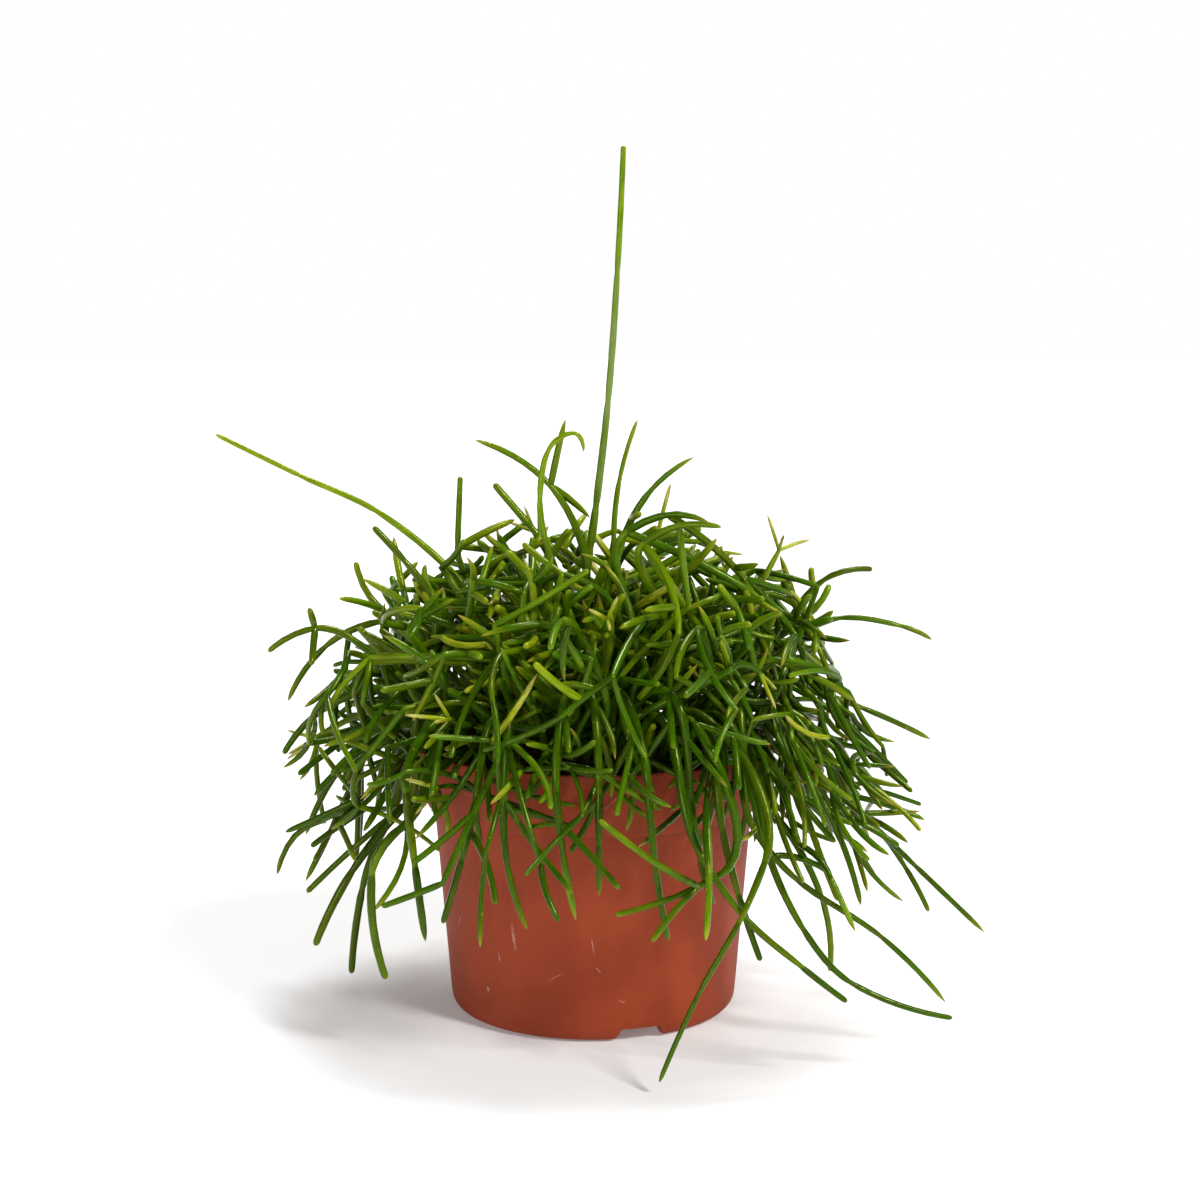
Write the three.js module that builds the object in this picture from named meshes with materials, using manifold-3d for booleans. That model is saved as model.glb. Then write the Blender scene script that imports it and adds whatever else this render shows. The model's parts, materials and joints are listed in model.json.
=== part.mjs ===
// Mistletoe cactus (a thin-stemmed Rhipsalis) growing in a 12 cm plastic nursery pot.
// Millimetres, +Z up. The pot stands on z = 0, and the origin is under the middle of the whole plant.
import * as THREE from 'three';
import Module from 'manifold-3d';
import { mergeVertices } from 'three/addons/utils/BufferGeometryUtils.js';

const wasm = await Module();
wasm.setup();

// ---------- driving dimensions of the pot ----------
const RIM_RADIUS = 60;
const POT_HEIGHT = 90;
const COLLAR_FOOT_Z = 69.4;
const COLLAR_FOOT_RADIUS = 56.2;
const BODY_TOP_RADIUS = 53.9;
const BASE_RADIUS = 48.1;
const WALL = 1.5;
const BASE_FILLET = 5.2;
const BASE_PLATE_Z = 5;
const FOOT_RING_INNER = 41.4;
const RIM_BEVEL = 0.5;
const POT_SIDES = 45;
const NOTCH_COUNT = 3;
const NOTCH_WIDTH = 16;
const NOTCH_HEIGHT = 4.4;
const NOTCH_FLARE = 1.5;
const FIRST_NOTCH_DEG = -71;
const DRAIN_HOLES = 6;
const DRAIN_HOLE_RADIUS = 4;
const DRAIN_CIRCLE_RADIUS = 31;

// ---------- driving dimensions of the soil ----------
const SOIL_Z = 85;
const SOIL_GAP = 0.6;
const SOIL_SIDES = 36;
const SOIL_BUMP = 1.5;
const HOLE_DEPTH = 13.5;
const HOLE_CLEARANCE = 0.5;

// ---------- driving dimensions of the plant ----------
const ROOT_DEPTH = 13;
const COLLAR_RISE = 3;
const ROOT_FIELD = 47.5;
const ROOT_SPACING = 5.8;
const CROWN_CENTRE_X = -3;
const CROWN_REACH = 102;
const CROWN_DEPTH = 1.08;
const CROWN_TAPER = 0.42;
const LEAST_SHARE = 0.78;
const MOST_SHARE = 1.05;
const CROWN_TOP_Z = 161;
const WAIST_Z = 76;
const SKIRT_Z = 40;
const CORE_SPACING = 2.5;
const HEM_SPACING = 10;
const HEM_TOP_Z = 92;
const STEM_THICKNESS = 1.5;
const SHOOT_THICKNESS = 1.35;
const SLIMMING = 0.22;
const SHOOT_LENGTH = 42;
const FREE_STEMS = 14;
const SHOOT_COUNT = 500;
const STEM_GAP = 0.45;
const SHOOT_GAP = 0.5;
const NECK = 0.86;
const ROOT_NECK = 0.5;
const TIP_START = 0.92;
const SEED = 7;

// The shoots that give the plant its outline, as joints from the crown out to the tip.
// Each is [name, half thickness at the first joint, at the tip, joints].
const NAMED_SHOOTS = [
  ['upright', 1.55, 0.95, [[-1, 0, 156], [1, 0, 170], [5, 0, 205], [8, 0, 247], [10, 0, 288]]],
  ['leaning', 1.3, 0.8, [[-47, 6, 146], [-73, 8, 167], [-99, 10, 179], [-128, 12, 193]]],
  ['spike', 1.2, 1, [[-47, 22, 154], [-46, 24, 178]]],
  ['slant', 1.4, 1.2, [[-21, 14, 161], [-34, 16, 176]]],
  ['trident', 1.4, 0.95, [[-2, -12, 150], [-14, -10, 177], [-39, -8, 192]]],
  ['hook', 1.2, 0.75, [[-15, -28, 160], [-17, -28, 174], [-14, -27, 190], [-6, -26, 195], [-3, -25, 189]]],
  ['reed', 1.15, 0.7, [[7, 10, 158], [9, 11, 178], [15, 12, 198]]],
  ['sickle', 1.35, 0.75, [[10, -14, 160], [19, -16, 176], [33, -18, 187]]],
  ['crest_a', 1.35, 1.1, [[11, -26, 163], [24, -30, 169], [37, -34, 167]]],
  ['crest_b', 1.35, 1, [[16, -44, 161], [27, -48, 167], [40, -52, 167]]],
  ['pale', 1.1, 0.7, [[20, 28, 142], [22, 30, 155], [27, 32, 175]]],
  ['young', 1.3, 0.9, [[51, -4, 136], [56, -4, 144], [62, -4, 155]]],
  ['east_a', 1.2, 0.85, [[71, 12, 124], [85, 14, 130], [106, 16, 127], [117, 17, 122]]],
  ['east_b', 1.3, 1.05, [[69, 32, 126], [82, 36, 141], [99, 40, 144]]],
  ['east_c', 1.2, 0.95, [[74, 20, 104], [94, 24, 97], [119, 28, 85]]],
  ['fall_a', 1.15, 0.85, [[72, -22, 84], [88, -24, 70], [106, -26, 53], [129, -28, 31]]],
  ['fall_b', 1.15, 0.9, [[77, 0, 70], [96, -2, 60], [106, -4, 47], [114, -6, 32]]],
  ['fall_c', 1.15, 0.85, [[50, -62, 74], [64, -60, 57], [91, -58, 38], [112, -56, 16]]],
  ['fall_d', 1.2, 0.85, [[53, -76, 71], [64, -80, 47], [79, -80, 30], [110, -80, 19]]],
  ['fall_e', 1.15, 0.9, [[32, -82, 72], [46, -86, 52], [63, -86, 37], [77, -86, 26]]],
  ['lowest', 1.15, 0.75, [[52, -84, 69], [44, -90, 52], [32, -93, 31], [20, -95, 4]]],
  ['apron_a', 1.25, 1, [[40, -68, 75], [45, -69, 55], [52, -70, 34]]],
  ['apron_b', 1.2, 0.95, [[59, -50, 74], [73, -50, 48], [76, -48, 24]]],
  ['stray', 1.1, 0.9, [[39, -80, 64], [25, -84, 58], [7, -86, 53]]],
  ['sweep_a', 1.5, 1.3, [[-61, -34, 75], [-78, -38, 54], [-90, -40, 30]]],
  ['sweep_b', 1.45, 1.3, [[-60, -58, 73], [-69, -60, 59], [-65, -60, 25]]],
  ['sweep_c', 1.4, 1.25, [[-71, -18, 60], [-77, -18, 43], [-81, -18, 14]]],
  ['sweep_d', 1.4, 1.2, [[-58, -62, 86], [-55, -66, 63], [-52, -66, 39]]],
  ['sweep_e', 1.3, 1.1, [[-80, 4, 79], [-90, 4, 58], [-99, 4, 40]]],
  ['west_a', 1.4, 1.05, [[-73, -14, 110], [-91, -14, 102], [-103, -14, 88]]],
  ['west_b', 1.4, 1, [[-81, 2, 124], [-94, 2, 128], [-110, 2, 120]]],
  ['west_c', 1.4, 1.1, [[-61, 24, 135], [-73, 26, 131], [-83, 28, 148]]],
  ['west_d', 1.35, 1.1, [[-54, -16, 143], [-62, -16, 153], [-72, -16, 164]]],
  ['west_e', 1.35, 1.05, [[-76, 34, 126], [-95, 36, 117], [-109, 38, 97]]],
  ['front_a', 1.25, 1, [[-36, -68, 84], [-40, -72, 67], [-46, -74, 47]]],
  ['front_b', 1.25, 1, [[-27, -72, 85], [-26, -74, 65], [-20, -74, 45]]],
  ['front_c', 1.3, 1.05, [[-11, -76, 89], [-9, -78, 70], [-5, -78, 49]]],
  ['front_d', 1.25, 1.05, [[2, -74, 88], [2, -76, 72], [2, -76, 56]]],
  ['front_e', 1.25, 1, [[17, -76, 89], [19, -78, 67], [23, -78, 43]]],
  ['front_f', 1.25, 1.05, [[30, -72, 85], [33, -74, 67], [37, -74, 53]]],
  ['fore', 1.3, 1.05, [[-4, -68, 136], [-9, -85, 142], [-12, -102, 136]]],
  ['rear', 1.3, 1.05, [[-18, 68, 122], [-26, 86, 118], [-30, 102, 104]]],
];

// Short side shoots on those: [name, joint it grows from, half thickness, tip].
const SIDE_SHOOTS = [
  ['trident', 1, 1.2, [-9, -10, 199]],
  ['trident', 1, 1.2, [-1, -4, 166]],
  ['young', 2, 0.6, [58, -4, 167]],
  ['young', 2, 0.6, [63, -12, 161]],
  ['young', 2, 0.7, [73, 2, 158]],
  ['west_b', 1, 1.2, [-96, 2, 135]],
  ['west_b', 1, 1.2, [-94, -8, 117]],
  ['west_c', 1, 1.2, [-87, 12, 137]],
];

const COLOURS = { pot: 0xa4523a, soil: 0x2e2119, stem: 0x4f7d1c, young: 0x9aa83a };

// ---------- small vector sums ----------
const dot = (a, b) => a[0] * b[0] + a[1] * b[1] + a[2] * b[2];
const sum = (...terms) => [0, 1, 2].map((i) => terms.reduce((total, [k, v]) => total + k * v[i], 0));
const minus = (a, b) => [a[0] - b[0], a[1] - b[1], a[2] - b[2]];
const size = (a) => Math.sqrt(dot(a, a));
const unit = (a) => a.map((x) => x / size(a));
const cross = (a, b) => [a[1] * b[2] - a[2] * b[1], a[2] * b[0] - a[0] * b[2], a[0] * b[1] - a[1] * b[0]];
const clamp = (x, low, high) => Math.min(Math.max(x, low), high);

// A repeatable stream of random numbers.
let seedState = SEED;
function draw(low, high) {
  seedState = (seedState * 48271) % 2147483647;
  return low + ((high - low) * seedState) / 2147483647;
}

// ---------- solids ----------
function toSolid(geometry) {
  const bare = geometry.index ? geometry.toNonIndexed() : geometry.clone();
  bare.deleteAttribute('normal');
  bare.deleteAttribute('uv');
  const merged = mergeVertices(bare, 1e-4);
  const corners = merged.index.array;
  const kept = [];
  for (let i = 0; i < corners.length; i += 3) {
    const [a, b, c] = corners.slice(i, i + 3);
    if (a !== b && b !== c && a !== c) kept.push(a, b, c);
  }
  const vertProperties = new Float32Array(merged.attributes.position.array);
  return new wasm.Manifold(new wasm.Mesh({ numProp: 3, vertProperties, triVerts: new Uint32Array(kept) }));
}

function toGeometry(solid) {
  const mesh = solid.getMesh();
  const geometry = new THREE.BufferGeometry();
  geometry.setAttribute('position', new THREE.BufferAttribute(new Float32Array(mesh.vertProperties), 3));
  geometry.setIndex(new THREE.BufferAttribute(new Uint32Array(mesh.triVerts), 1));
  return geometry;
}

function namedMesh(name, solid, colour, roughness) {
  const material = new THREE.MeshStandardMaterial({ color: colour, roughness, metalness: 0 });
  const mesh = new THREE.Mesh(toGeometry(solid), material);
  mesh.name = name;
  return mesh;
}

// A turned solid round the Z axis, from a profile of [radius, height] points.
function turned(profile, sides) {
  const points = profile.map(([r, z]) => new THREE.Vector2(r, z));
  const geometry = new THREE.LatheGeometry(points, sides);
  geometry.rotateX(Math.PI / 2);
  return geometry;
}

// ---------- pot ----------
function bodyRadius(z) {
  return BASE_RADIUS + ((BODY_TOP_RADIUS - BASE_RADIUS) * z) / COLLAR_FOOT_Z;
}

function potProfile() {
  const collarSlope = (RIM_RADIUS - COLLAR_FOOT_RADIUS) / (POT_HEIGHT - COLLAR_FOOT_Z);
  const footRadius = bodyRadius(0) - BASE_FILLET;
  const profile = [[0, BASE_PLATE_Z], [FOOT_RING_INNER, BASE_PLATE_Z], [FOOT_RING_INNER, 0], [footRadius, 0]];
  for (const deg of [30, 60, 90]) {
    const turn = THREE.MathUtils.degToRad(deg);
    const z = BASE_FILLET * (1 - Math.cos(turn));
    profile.push([footRadius + (bodyRadius(BASE_FILLET) - footRadius) * Math.sin(turn), z]);
  }
  profile.push(
    [BODY_TOP_RADIUS, COLLAR_FOOT_Z - 0.3],
    [COLLAR_FOOT_RADIUS, COLLAR_FOOT_Z + 0.3],
    [RIM_RADIUS - collarSlope * RIM_BEVEL, POT_HEIGHT - RIM_BEVEL],
    [RIM_RADIUS - RIM_BEVEL, POT_HEIGHT],
    [RIM_RADIUS - WALL, POT_HEIGHT],
    [COLLAR_FOOT_RADIUS - WALL, COLLAR_FOOT_Z + 1],
    [BODY_TOP_RADIUS - WALL, COLLAR_FOOT_Z - 1.5],
    [bodyRadius(BASE_PLATE_Z + 4) - WALL, BASE_PLATE_Z + 4],
    [bodyRadius(0) - WALL - 3, BASE_PLATE_Z + WALL],
    [0, BASE_PLATE_Z + WALL],
  );
  return profile;
}

// A wedge-sided block across the foot ring, wider at the floor.
function notchTool(angle) {
  const half = NOTCH_WIDTH / 2;
  const outline = new THREE.Shape();
  outline.moveTo(-half - NOTCH_FLARE, -1);
  outline.lineTo(half + NOTCH_FLARE, -1);
  outline.lineTo(half - NOTCH_FLARE, NOTCH_HEIGHT);
  outline.lineTo(-half + NOTCH_FLARE, NOTCH_HEIGHT);
  outline.closePath();
  const reach = 14;
  const geometry = new THREE.ExtrudeGeometry(outline, { depth: reach, bevelEnabled: false });
  geometry.rotateX(Math.PI / 2);
  geometry.rotateZ(Math.PI / 2);
  geometry.translate(FOOT_RING_INNER - 2, 0, 0);
  geometry.rotateZ(angle);
  return toSolid(geometry);
}

function drainTool(angle) {
  const geometry = new THREE.CylinderGeometry(DRAIN_HOLE_RADIUS, DRAIN_HOLE_RADIUS, 8, 12);
  geometry.rotateX(Math.PI / 2);
  geometry.translate(DRAIN_CIRCLE_RADIUS, 0, BASE_PLATE_Z + WALL / 2);
  geometry.rotateZ(angle);
  return toSolid(geometry);
}

function makePot() {
  let pot = toSolid(turned(potProfile(), POT_SIDES));
  for (let i = 0; i < NOTCH_COUNT; i += 1) {
    const angle = THREE.MathUtils.degToRad(FIRST_NOTCH_DEG + (360 / NOTCH_COUNT) * i);
    pot = pot.subtract(notchTool(angle));
  }
  for (let i = 0; i < DRAIN_HOLES; i += 1) pot = pot.subtract(drainTool((i / DRAIN_HOLES) * Math.PI * 2));
  return pot;
}

// ---------- the plant's growth ----------
// A shoot is one cylindrical segment of the cactus, an arc from one joint to the next.
const shoots = [];
const stretches = [];
const roots = [];

function pointOn(shoot, t) {
  const s = 1 - t;
  return sum(
    [s * s * (1 + 2 * t), shoot.from],
    [t * s * s, shoot.leave],
    [t * t * (3 - 2 * t), shoot.to],
    [-t * t * s, shoot.arrive],
  );
}

function slopeOn(shoot, t) {
  return sum(
    [6 * t * (1 - t), minus(shoot.to, shoot.from)],
    [(1 - t) * (1 - 3 * t), shoot.leave],
    [-t * (2 - 3 * t), shoot.arrive],
  );
}

function routeOf(shoot) {
  return Array.from({ length: shoot.steps + 1 }, (_, i) => pointOn(shoot, i / shoot.steps));
}

function makeShoot(from, to, leave, arrive, thick, steps, rest) {
  return { from, to, leave, arrive, thick, steps, parent: -1, at: 1, rank: 0, bare: false, kids: 0, ...rest };
}

function plant(shoot) {
  shoot.index = shoots.length;
  shoots.push(shoot);
  const route = routeOf(shoot);
  for (let i = 0; i < shoot.steps; i += 1) {
    stretches.push({ a: route[i], b: route[i + 1], thick: shoot.thick, owner: shoot.index });
  }
  return shoot;
}

// The least distance between the stretches a-b and p-q.
function stretchGap(a, b, p, q) {
  const d1 = minus(b, a);
  const d2 = minus(q, p);
  const r = minus(a, p);
  const A = dot(d1, d1);
  const E = dot(d2, d2);
  const F = dot(d2, r);
  const C = dot(r, d1);
  const B = dot(d2, d1);
  const spread = A * E - B * B;
  let s = spread > 1e-9 ? clamp((B * F - C * E) / spread, 0, 1) : 0;
  const free = (B * s + F) / E;
  const t = clamp(free, 0, 1);
  if (t !== free) s = clamp((t * B - C) / A, 0, 1);
  return size(sum([1, r], [s, d1], [-t, d2]));
}

function isClear(shoot, skip, gap) {
  const route = routeOf(shoot);
  for (const other of stretches) {
    if (skip.includes(other.owner)) continue;
    const room = other.thick + shoot.thick + gap;
    for (let i = 0; i < shoot.steps; i += 1) {
      if (stretchGap(route[i], route[i + 1], other.a, other.b) < room) return false;
    }
  }
  return true;
}

// Keeps a shoot out of the soil, the pot's wall and rim, and off the ground.
function missesPot(p, thick) {
  const r = Math.hypot(p[0], p[1]);
  if (p[2] < 3) return false;
  if (r < 50) return p[2] > SOIL_Z + COLLAR_RISE;
  return r > RIM_RADIUS + thick + 1 || p[2] > POT_HEIGHT + thick + 0.8;
}

// The way a shoot tends: up in the middle, outwards, and down past the pot's rim.
function tendency(p) {
  const r = Math.max(Math.hypot(p[0], p[1]), 1e-6);
  let rise = 76 - 1.3 * r;
  rise -= 45 * clamp((95 - p[2]) / 35, 0, 1);
  rise -= 60 * clamp((p[2] - 135) / 35, 0, 1);
  const turn = THREE.MathUtils.degToRad(Math.max(rise, -82));
  return [(p[0] * Math.cos(turn)) / r, (p[1] * Math.cos(turn)) / r, Math.sin(turn)];
}

// Whether a tip lies within a share of the crown's reach: a flat-topped dome with a hem.
function insideCrown(p, share) {
  const r = Math.hypot(p[0] - CROWN_CENTRE_X, p[1] * CROWN_DEPTH);
  const up = (p[2] - WAIST_Z) / (CROWN_TOP_Z - WAIST_Z) / share;
  if (up < 0) return p[2] > SKIRT_Z + 90 * (1 - Math.min(share, 1)) && r < CROWN_REACH * share;
  if (up >= 1) return false;
  return r < share * (CROWN_REACH - CROWN_TAPER * (p[2] - WAIST_Z)) * Math.sqrt(1 - up ** 8);
}

// How much a shoot hangs: 0 in the crown's middle and 1 where it trails past the rim.
function slackness(p) {
  return clamp((Math.hypot(p[0], p[1]) - 45) / 35, 0, 1) * clamp((130 - p[2]) / 50, 0, 1);
}

// How far apart the tips keep: close in the crown and wide at the hem, most of all at the pot.
function roomWanted(p) {
  const besidePot = clamp((92 - Math.hypot(p[0], p[1])) / 20, 0, 1);
  return CORE_SPACING + HEM_SPACING * (1 + besidePot) * clamp((HEM_TOP_Z - p[2]) / 40, 0, 1);
}

// How far a point is from the nearest tip or joint.
function openness(p) {
  return shoots.reduce((least, shoot) => Math.min(least, size(minus(p, shoot.to))), 99);
}

// Lays the shoots of one row of joints, each an arc that passes smoothly into the next.
function layNamedShoot(stem, thickRoot, thickTip, joints) {
  const last = joints.length - 1;
  const ways = joints.map((_, i) => (i && i < last ? unit(minus(joints[i + 1], joints[i - 1])) : null));
  const first = unit(minus(joints[1], joints[0]));
  const end = unit(minus(joints[last], joints[last - 1]));
  ways[0] = last > 1 ? unit(sum([2, first], [-1, ways[1]])) : first;
  ways[last] = last > 1 ? unit(sum([2, end], [-1, ways[last - 1]])) : end;
  const laid = [];
  for (let i = 0; i < last; i += 1) {
    const length = size(minus(joints[i + 1], joints[i]));
    const thick = thickRoot + ((thickTip - thickRoot) * (i + 0.5)) / last;
    const arc = [sum([length, ways[i]]), sum([length, ways[i + 1]])];
    const rest = { stem, rank: 1, parent: i ? laid[i - 1].index : -1, bare: i >= last - 1 || last > 3 };
    laid.push(plant(makeShoot(joints[i], joints[i + 1], ...arc, thick, length < 34 ? 2 : 3, rest)));
  }
  return laid;
}

function laySideShoot(parent, thick, tip) {
  const reach = minus(tip, parent.to);
  const way = unit(reach);
  const leave = sum([size(reach), unit(sum([1, way], [0.15, [0, 0, 1]]))]);
  const arrive = sum([size(reach), unit(sum([1, way], [-0.15, [0, 0, 1]]))]);
  const rest = { stem: parent.stem, rank: 3, parent: parent.index, bare: true };
  plant(makeShoot(parent.to, tip, leave, arrive, thick, 2, rest));
}

// Brings a stem up out of a hole in the soil and over to the shoot's first joint.
function rootStem(stem, joint, way, thick, skip) {
  const reach = Math.max(Math.hypot(joint[0], joint[1]), 1e-6);
  const inward = Math.min(0.6, 38 / reach);
  for (let go = 0; go < 3000; go += 1) {
    const spread = 8 + 0.015 * go;
    const sway = 7 + 0.006 * go;
    const x = joint[0] * inward + draw(-spread, spread);
    const y = joint[1] * inward + draw(-spread, spread);
    const part = draw(0.3, 0.7);
    const rise = draw(0.35, 0.85);
    const [swayX, swayY] = [draw(-sway, sway), draw(-sway, sway)];
    const [leanX, leanY] = [draw(-0.2, 0.2), draw(-0.2, 0.2)];
    if (Math.hypot(x, y) > ROOT_FIELD) continue;
    if (roots.some((root) => Math.hypot(x - root[0], y - root[1]) < ROOT_SPACING)) continue;
    const bottom = [x, y, SOIL_Z - ROOT_DEPTH];
    const collar = [x, y, SOIL_Z + COLLAR_RISE];
    const arches = reach > 58 && joint[2] < 110;
    const crest = arches ? Math.max(joint[2] + 4, 98 + 24 * rise) : collar[2] + (joint[2] - collar[2]) * rise;
    const knee = [x + (joint[0] - x) * part + swayX, y + (joint[1] - y) * part + swayY, crest];
    const lower = size(minus(knee, collar));
    const upper = size(minus(joint, knee));
    if (lower + upper > 150 || lower < 12 || upper < 12) continue;
    const lean = unit([x * 0.014 + leanX, y * 0.014 + leanY, 1]);
    const flow = unit(sum([1, unit(minus(knee, collar))], [1, unit(minus(joint, knee))]));
    const straight = [0, 0, ROOT_DEPTH + COLLAR_RISE];
    const stub = makeShoot(bottom, collar, straight, straight, thick, 1, { stem, bare: true });
    const steps = [lower > 40 ? 3 : 2, upper > 40 ? 3 : 2];
    const low = makeShoot(collar, knee, sum([lower, lean]), sum([lower, flow]), thick, steps[0], { stem });
    const high = makeShoot(knee, joint, sum([upper, flow]), sum([upper, way]), thick, steps[1], { stem });
    const fine = Array.from({ length: 8 }, (_, i) => (i + 1) / 8);
    const marksOn = (arc) => [...fine.map((t) => pointOn(arc, t)), ...routeOf(arc).slice(1)];
    const marks = [...marksOn(low), ...marksOn(high)];
    if (!marks.every((p) => missesPot(p, thick))) continue;
    if (![stub, low].every((arc) => isClear(arc, [], STEM_GAP)) || !isClear(high, skip, STEM_GAP)) continue;
    roots.push([x, y, thick]);
    low.parent = plant(stub).index;
    high.parent = plant(low).index;
    return plant(high);
  }
  return null;
}

// The shoots that one joint puts out together, those that find room.
function whorl(parent, at, count, length, thick, gap) {
  const foot = pointOn(parent, at);
  const way = unit(slopeOn(parent, at));
  const side = unit(cross(way, Math.abs(way[2]) < 0.9 ? [0, 0, 1] : [1, 0, 0]));
  const over = cross(side, way);
  const start = draw(0, 2 * Math.PI);
  const kin = shoots.filter((shoot) => shoot.parent === parent.index);
  const skip = [parent.index, ...kin.filter((shoot) => shoot.at === at).map((shoot) => shoot.index)];
  const pull = tendency(foot);
  const slack = slackness(foot);
  const found = [];
  for (let i = 0; i < count; i += 1) {
    const turn = start + ((i + draw(-0.2, 0.2)) * 2 * Math.PI) / count;
    const bend = THREE.MathUtils.degToRad(draw(22, 62)) * (1 - 0.3 * slack);
    const reach = length * draw(0.6, 1.3) * (1 + 0.25 * slack);
    const stray = [draw(-0.6, 0.6), draw(-0.6, 0.6), draw(-0.6, 0.3)];
    const share = draw(LEAST_SHARE, MOST_SHARE);
    const aside = sum([Math.cos(turn), side], [Math.sin(turn), over]);
    const leave = unit(sum([Math.cos(bend), way], [Math.sin(bend), aside], [0.12 + 0.3 * slack, pull]));
    const arrive = unit(sum([1, leave], [0.3 + 0.4 * slack, pull], [1, stray]));
    const tip = sum([1, foot], [reach / 2, leave], [reach / 2, arrive]);
    if ([...kin, ...found].some((other) => dot(leave, unit(other.leave)) > 0.93)) continue;
    if (!insideCrown(tip, share) || openness(tip) < roomWanted(tip)) continue;
    const slim = thick * (1 - SLIMMING * slackness(tip));
    const rest = { stem: parent.stem, rank: parent.rank + 1, parent: parent.index, at };
    const shoot = makeShoot(foot, tip, sum([reach, leave]), sum([reach, arrive]), slim, 2, rest);
    if (!routeOf(shoot).slice(1).every((p) => missesPot(p, slim))) continue;
    if (isClear(shoot, skip, gap)) found.push(shoot);
  }
  return found;
}

// Adds whorls where the crown is emptiest, until it has this many shoots.
function fillCrown(total, length, thickness, gap) {
  for (let misses = 0; shoots.length < total && misses < 600; ) {
    let best = { shoots: [], score: 3 };
    for (let look = 0; look < 8; look += 1) {
      const parent = shoots[Math.floor(draw(0, shoots.length))];
      const at = parent.rank > 1 || draw(0, 1) < 0.6 ? 1 : 0.5;
      if (parent.bare || parent.rank > 4 || parent.kids > 3) continue;
      const count = Math.floor(draw(2, 4));
      const thick = Math.max(thickness * (1 - 0.05 * parent.rank), 0.95);
      const found = whorl(parent, at, count, length * (1 - 0.07 * parent.rank), thick, gap);
      const score = found.reduce((total_, shoot) => total_ + Math.min(openness(shoot.to), 14), 0);
      if (score > best.score) best = { shoots: found, score, parent };
    }
    misses = best.parent ? 0 : misses + 1;
    best.shoots.forEach(plant);
    if (best.parent) best.parent.kids += best.shoots.length;
  }
}

// A stem of its own, led to the emptiest of many places in the crown.
function growFreeStem(stem) {
  let best = { open: -1 };
  for (let look = 0; look < 40; look += 1) {
    const angle = draw(0, 2 * Math.PI);
    const far = Math.sqrt(draw(0.02, 1));
    const out = 20 + 62 * far;
    const z = draw(112, 150) - 46 * far * far * draw(0.3, 1);
    const joint = [out * Math.cos(angle), out * Math.sin(angle), z];
    const way = unit(sum([1, tendency(joint)], [1, [draw(-0.4, 0.4), draw(-0.4, 0.4), draw(-0.2, 0.3)]]));
    const open = openness(joint);
    const run = sum([6, way]);
    const probe = makeShoot(minus(joint, run), joint, run, run, STEM_THICKNESS, 2);
    if (open > best.open && isClear(probe, [], SHOOT_GAP)) best = { open, joint, way };
  }
  return best.joint && rootStem(stem, best.joint, best.way, STEM_THICKNESS, []);
}

function growPlant() {
  const rows = NAMED_SHOOTS.map(([name, thickRoot, thickTip, joints]) => {
    const laid = layNamedShoot(name, thickRoot, thickTip, joints);
    for (const [owner, joint, thick, tip] of SIDE_SHOOTS) {
      if (owner === name) laySideShoot(laid[joint - 1], thick, tip);
    }
    return laid;
  });
  const spread = (laid) => Math.hypot(laid[0].from[0], laid[0].from[1]);
  for (const laid of [...rows].sort((a, b) => spread(b) - spread(a))) {
    const first = laid[0];
    const thick = first.thick + 0.2;
    first.parent = rootStem(first.stem, first.from, unit(first.leave), thick, [first.index]).index;
  }
  for (let i = 1; i <= FREE_STEMS; ) {
    if (growFreeStem(`free_${String(i).padStart(2, '0')}`)) i += 1;
  }
  fillCrown(SHOOT_COUNT, SHOOT_LENGTH, SHOOT_THICKNESS, SHOOT_GAP);
}

// ---------- the plant's solids ----------
// The shoot that carries straight on from this one, if there is one.
function nextOf(shoot) {
  const kin = shoots.filter((other) => other.parent === shoot.index && other.at === 1);
  const way = unit(shoot.arrive);
  const bends = kin.map((other) => dot(way, unit(other.leave)));
  return kin[bends.indexOf(Math.max(...bends))];
}

// A chain of shoots as one rod, swollen in each shoot and drawn in at each joint. Stems have
// four sides and the shoots on them three.
function rodOf(chain) {
  const sides = chain[0].rank > 1 ? 3 : 4;
  const rings = [];
  chain.forEach((shoot, n) => {
    const joined = n < chain.length - 1;
    for (let i = n ? 1 : 0; i <= shoot.steps; i += 1) {
      const atEnd = i === shoot.steps;
      const t = atEnd && !joined ? TIP_START : i / shoot.steps;
      const pinch = i === 0 && shoot.parent >= 0 ? ROOT_NECK : NECK;
      let way = unit(slopeOn(shoot, t));
      if (atEnd && joined) way = unit(sum([1, way], [1, unit(chain[n + 1].leave)]));
      const narrowed = (i === 0 || atEnd) && shoot.steps > 1;
      rings.push({ at: pointOn(shoot, t), way, thick: shoot.thick * (narrowed ? pinch : 1) });
    }
  });
  const corners = [];
  const faces = Array.from({ length: sides - 2 }, (_, k) => [0, k + 2, k + 1]);
  let side = unit(cross(rings[0].way, Math.abs(rings[0].way[2]) < 0.9 ? [0, 0, 1] : [1, 0, 0]));
  rings.forEach((ring, n) => {
    side = unit(sum([1, side], [-dot(side, ring.way), ring.way]));
    const over = cross(ring.way, side);
    for (let k = 0; k < sides; k += 1) {
      const turn = (2 * Math.PI * k) / sides;
      const [right, up] = [ring.thick * Math.cos(turn), ring.thick * Math.sin(turn)];
      corners.push(sum([1, ring.at], [right, side], [up, over]));
      const [a, b] = [sides * n + k, sides * n + ((k + 1) % sides)];
      if (n < rings.length - 1) faces.push([a, b, b + sides], [a, b + sides, a + sides]);
      else faces.push([a, b, sides * rings.length]);
    }
  });
  corners.push(chain[chain.length - 1].to);
  const vertProperties = new Float32Array(corners.flat());
  const triVerts = new Uint32Array(faces.flat());
  return new wasm.Manifold(new wasm.Mesh({ numProp: 3, vertProperties, triVerts }));
}

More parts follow.
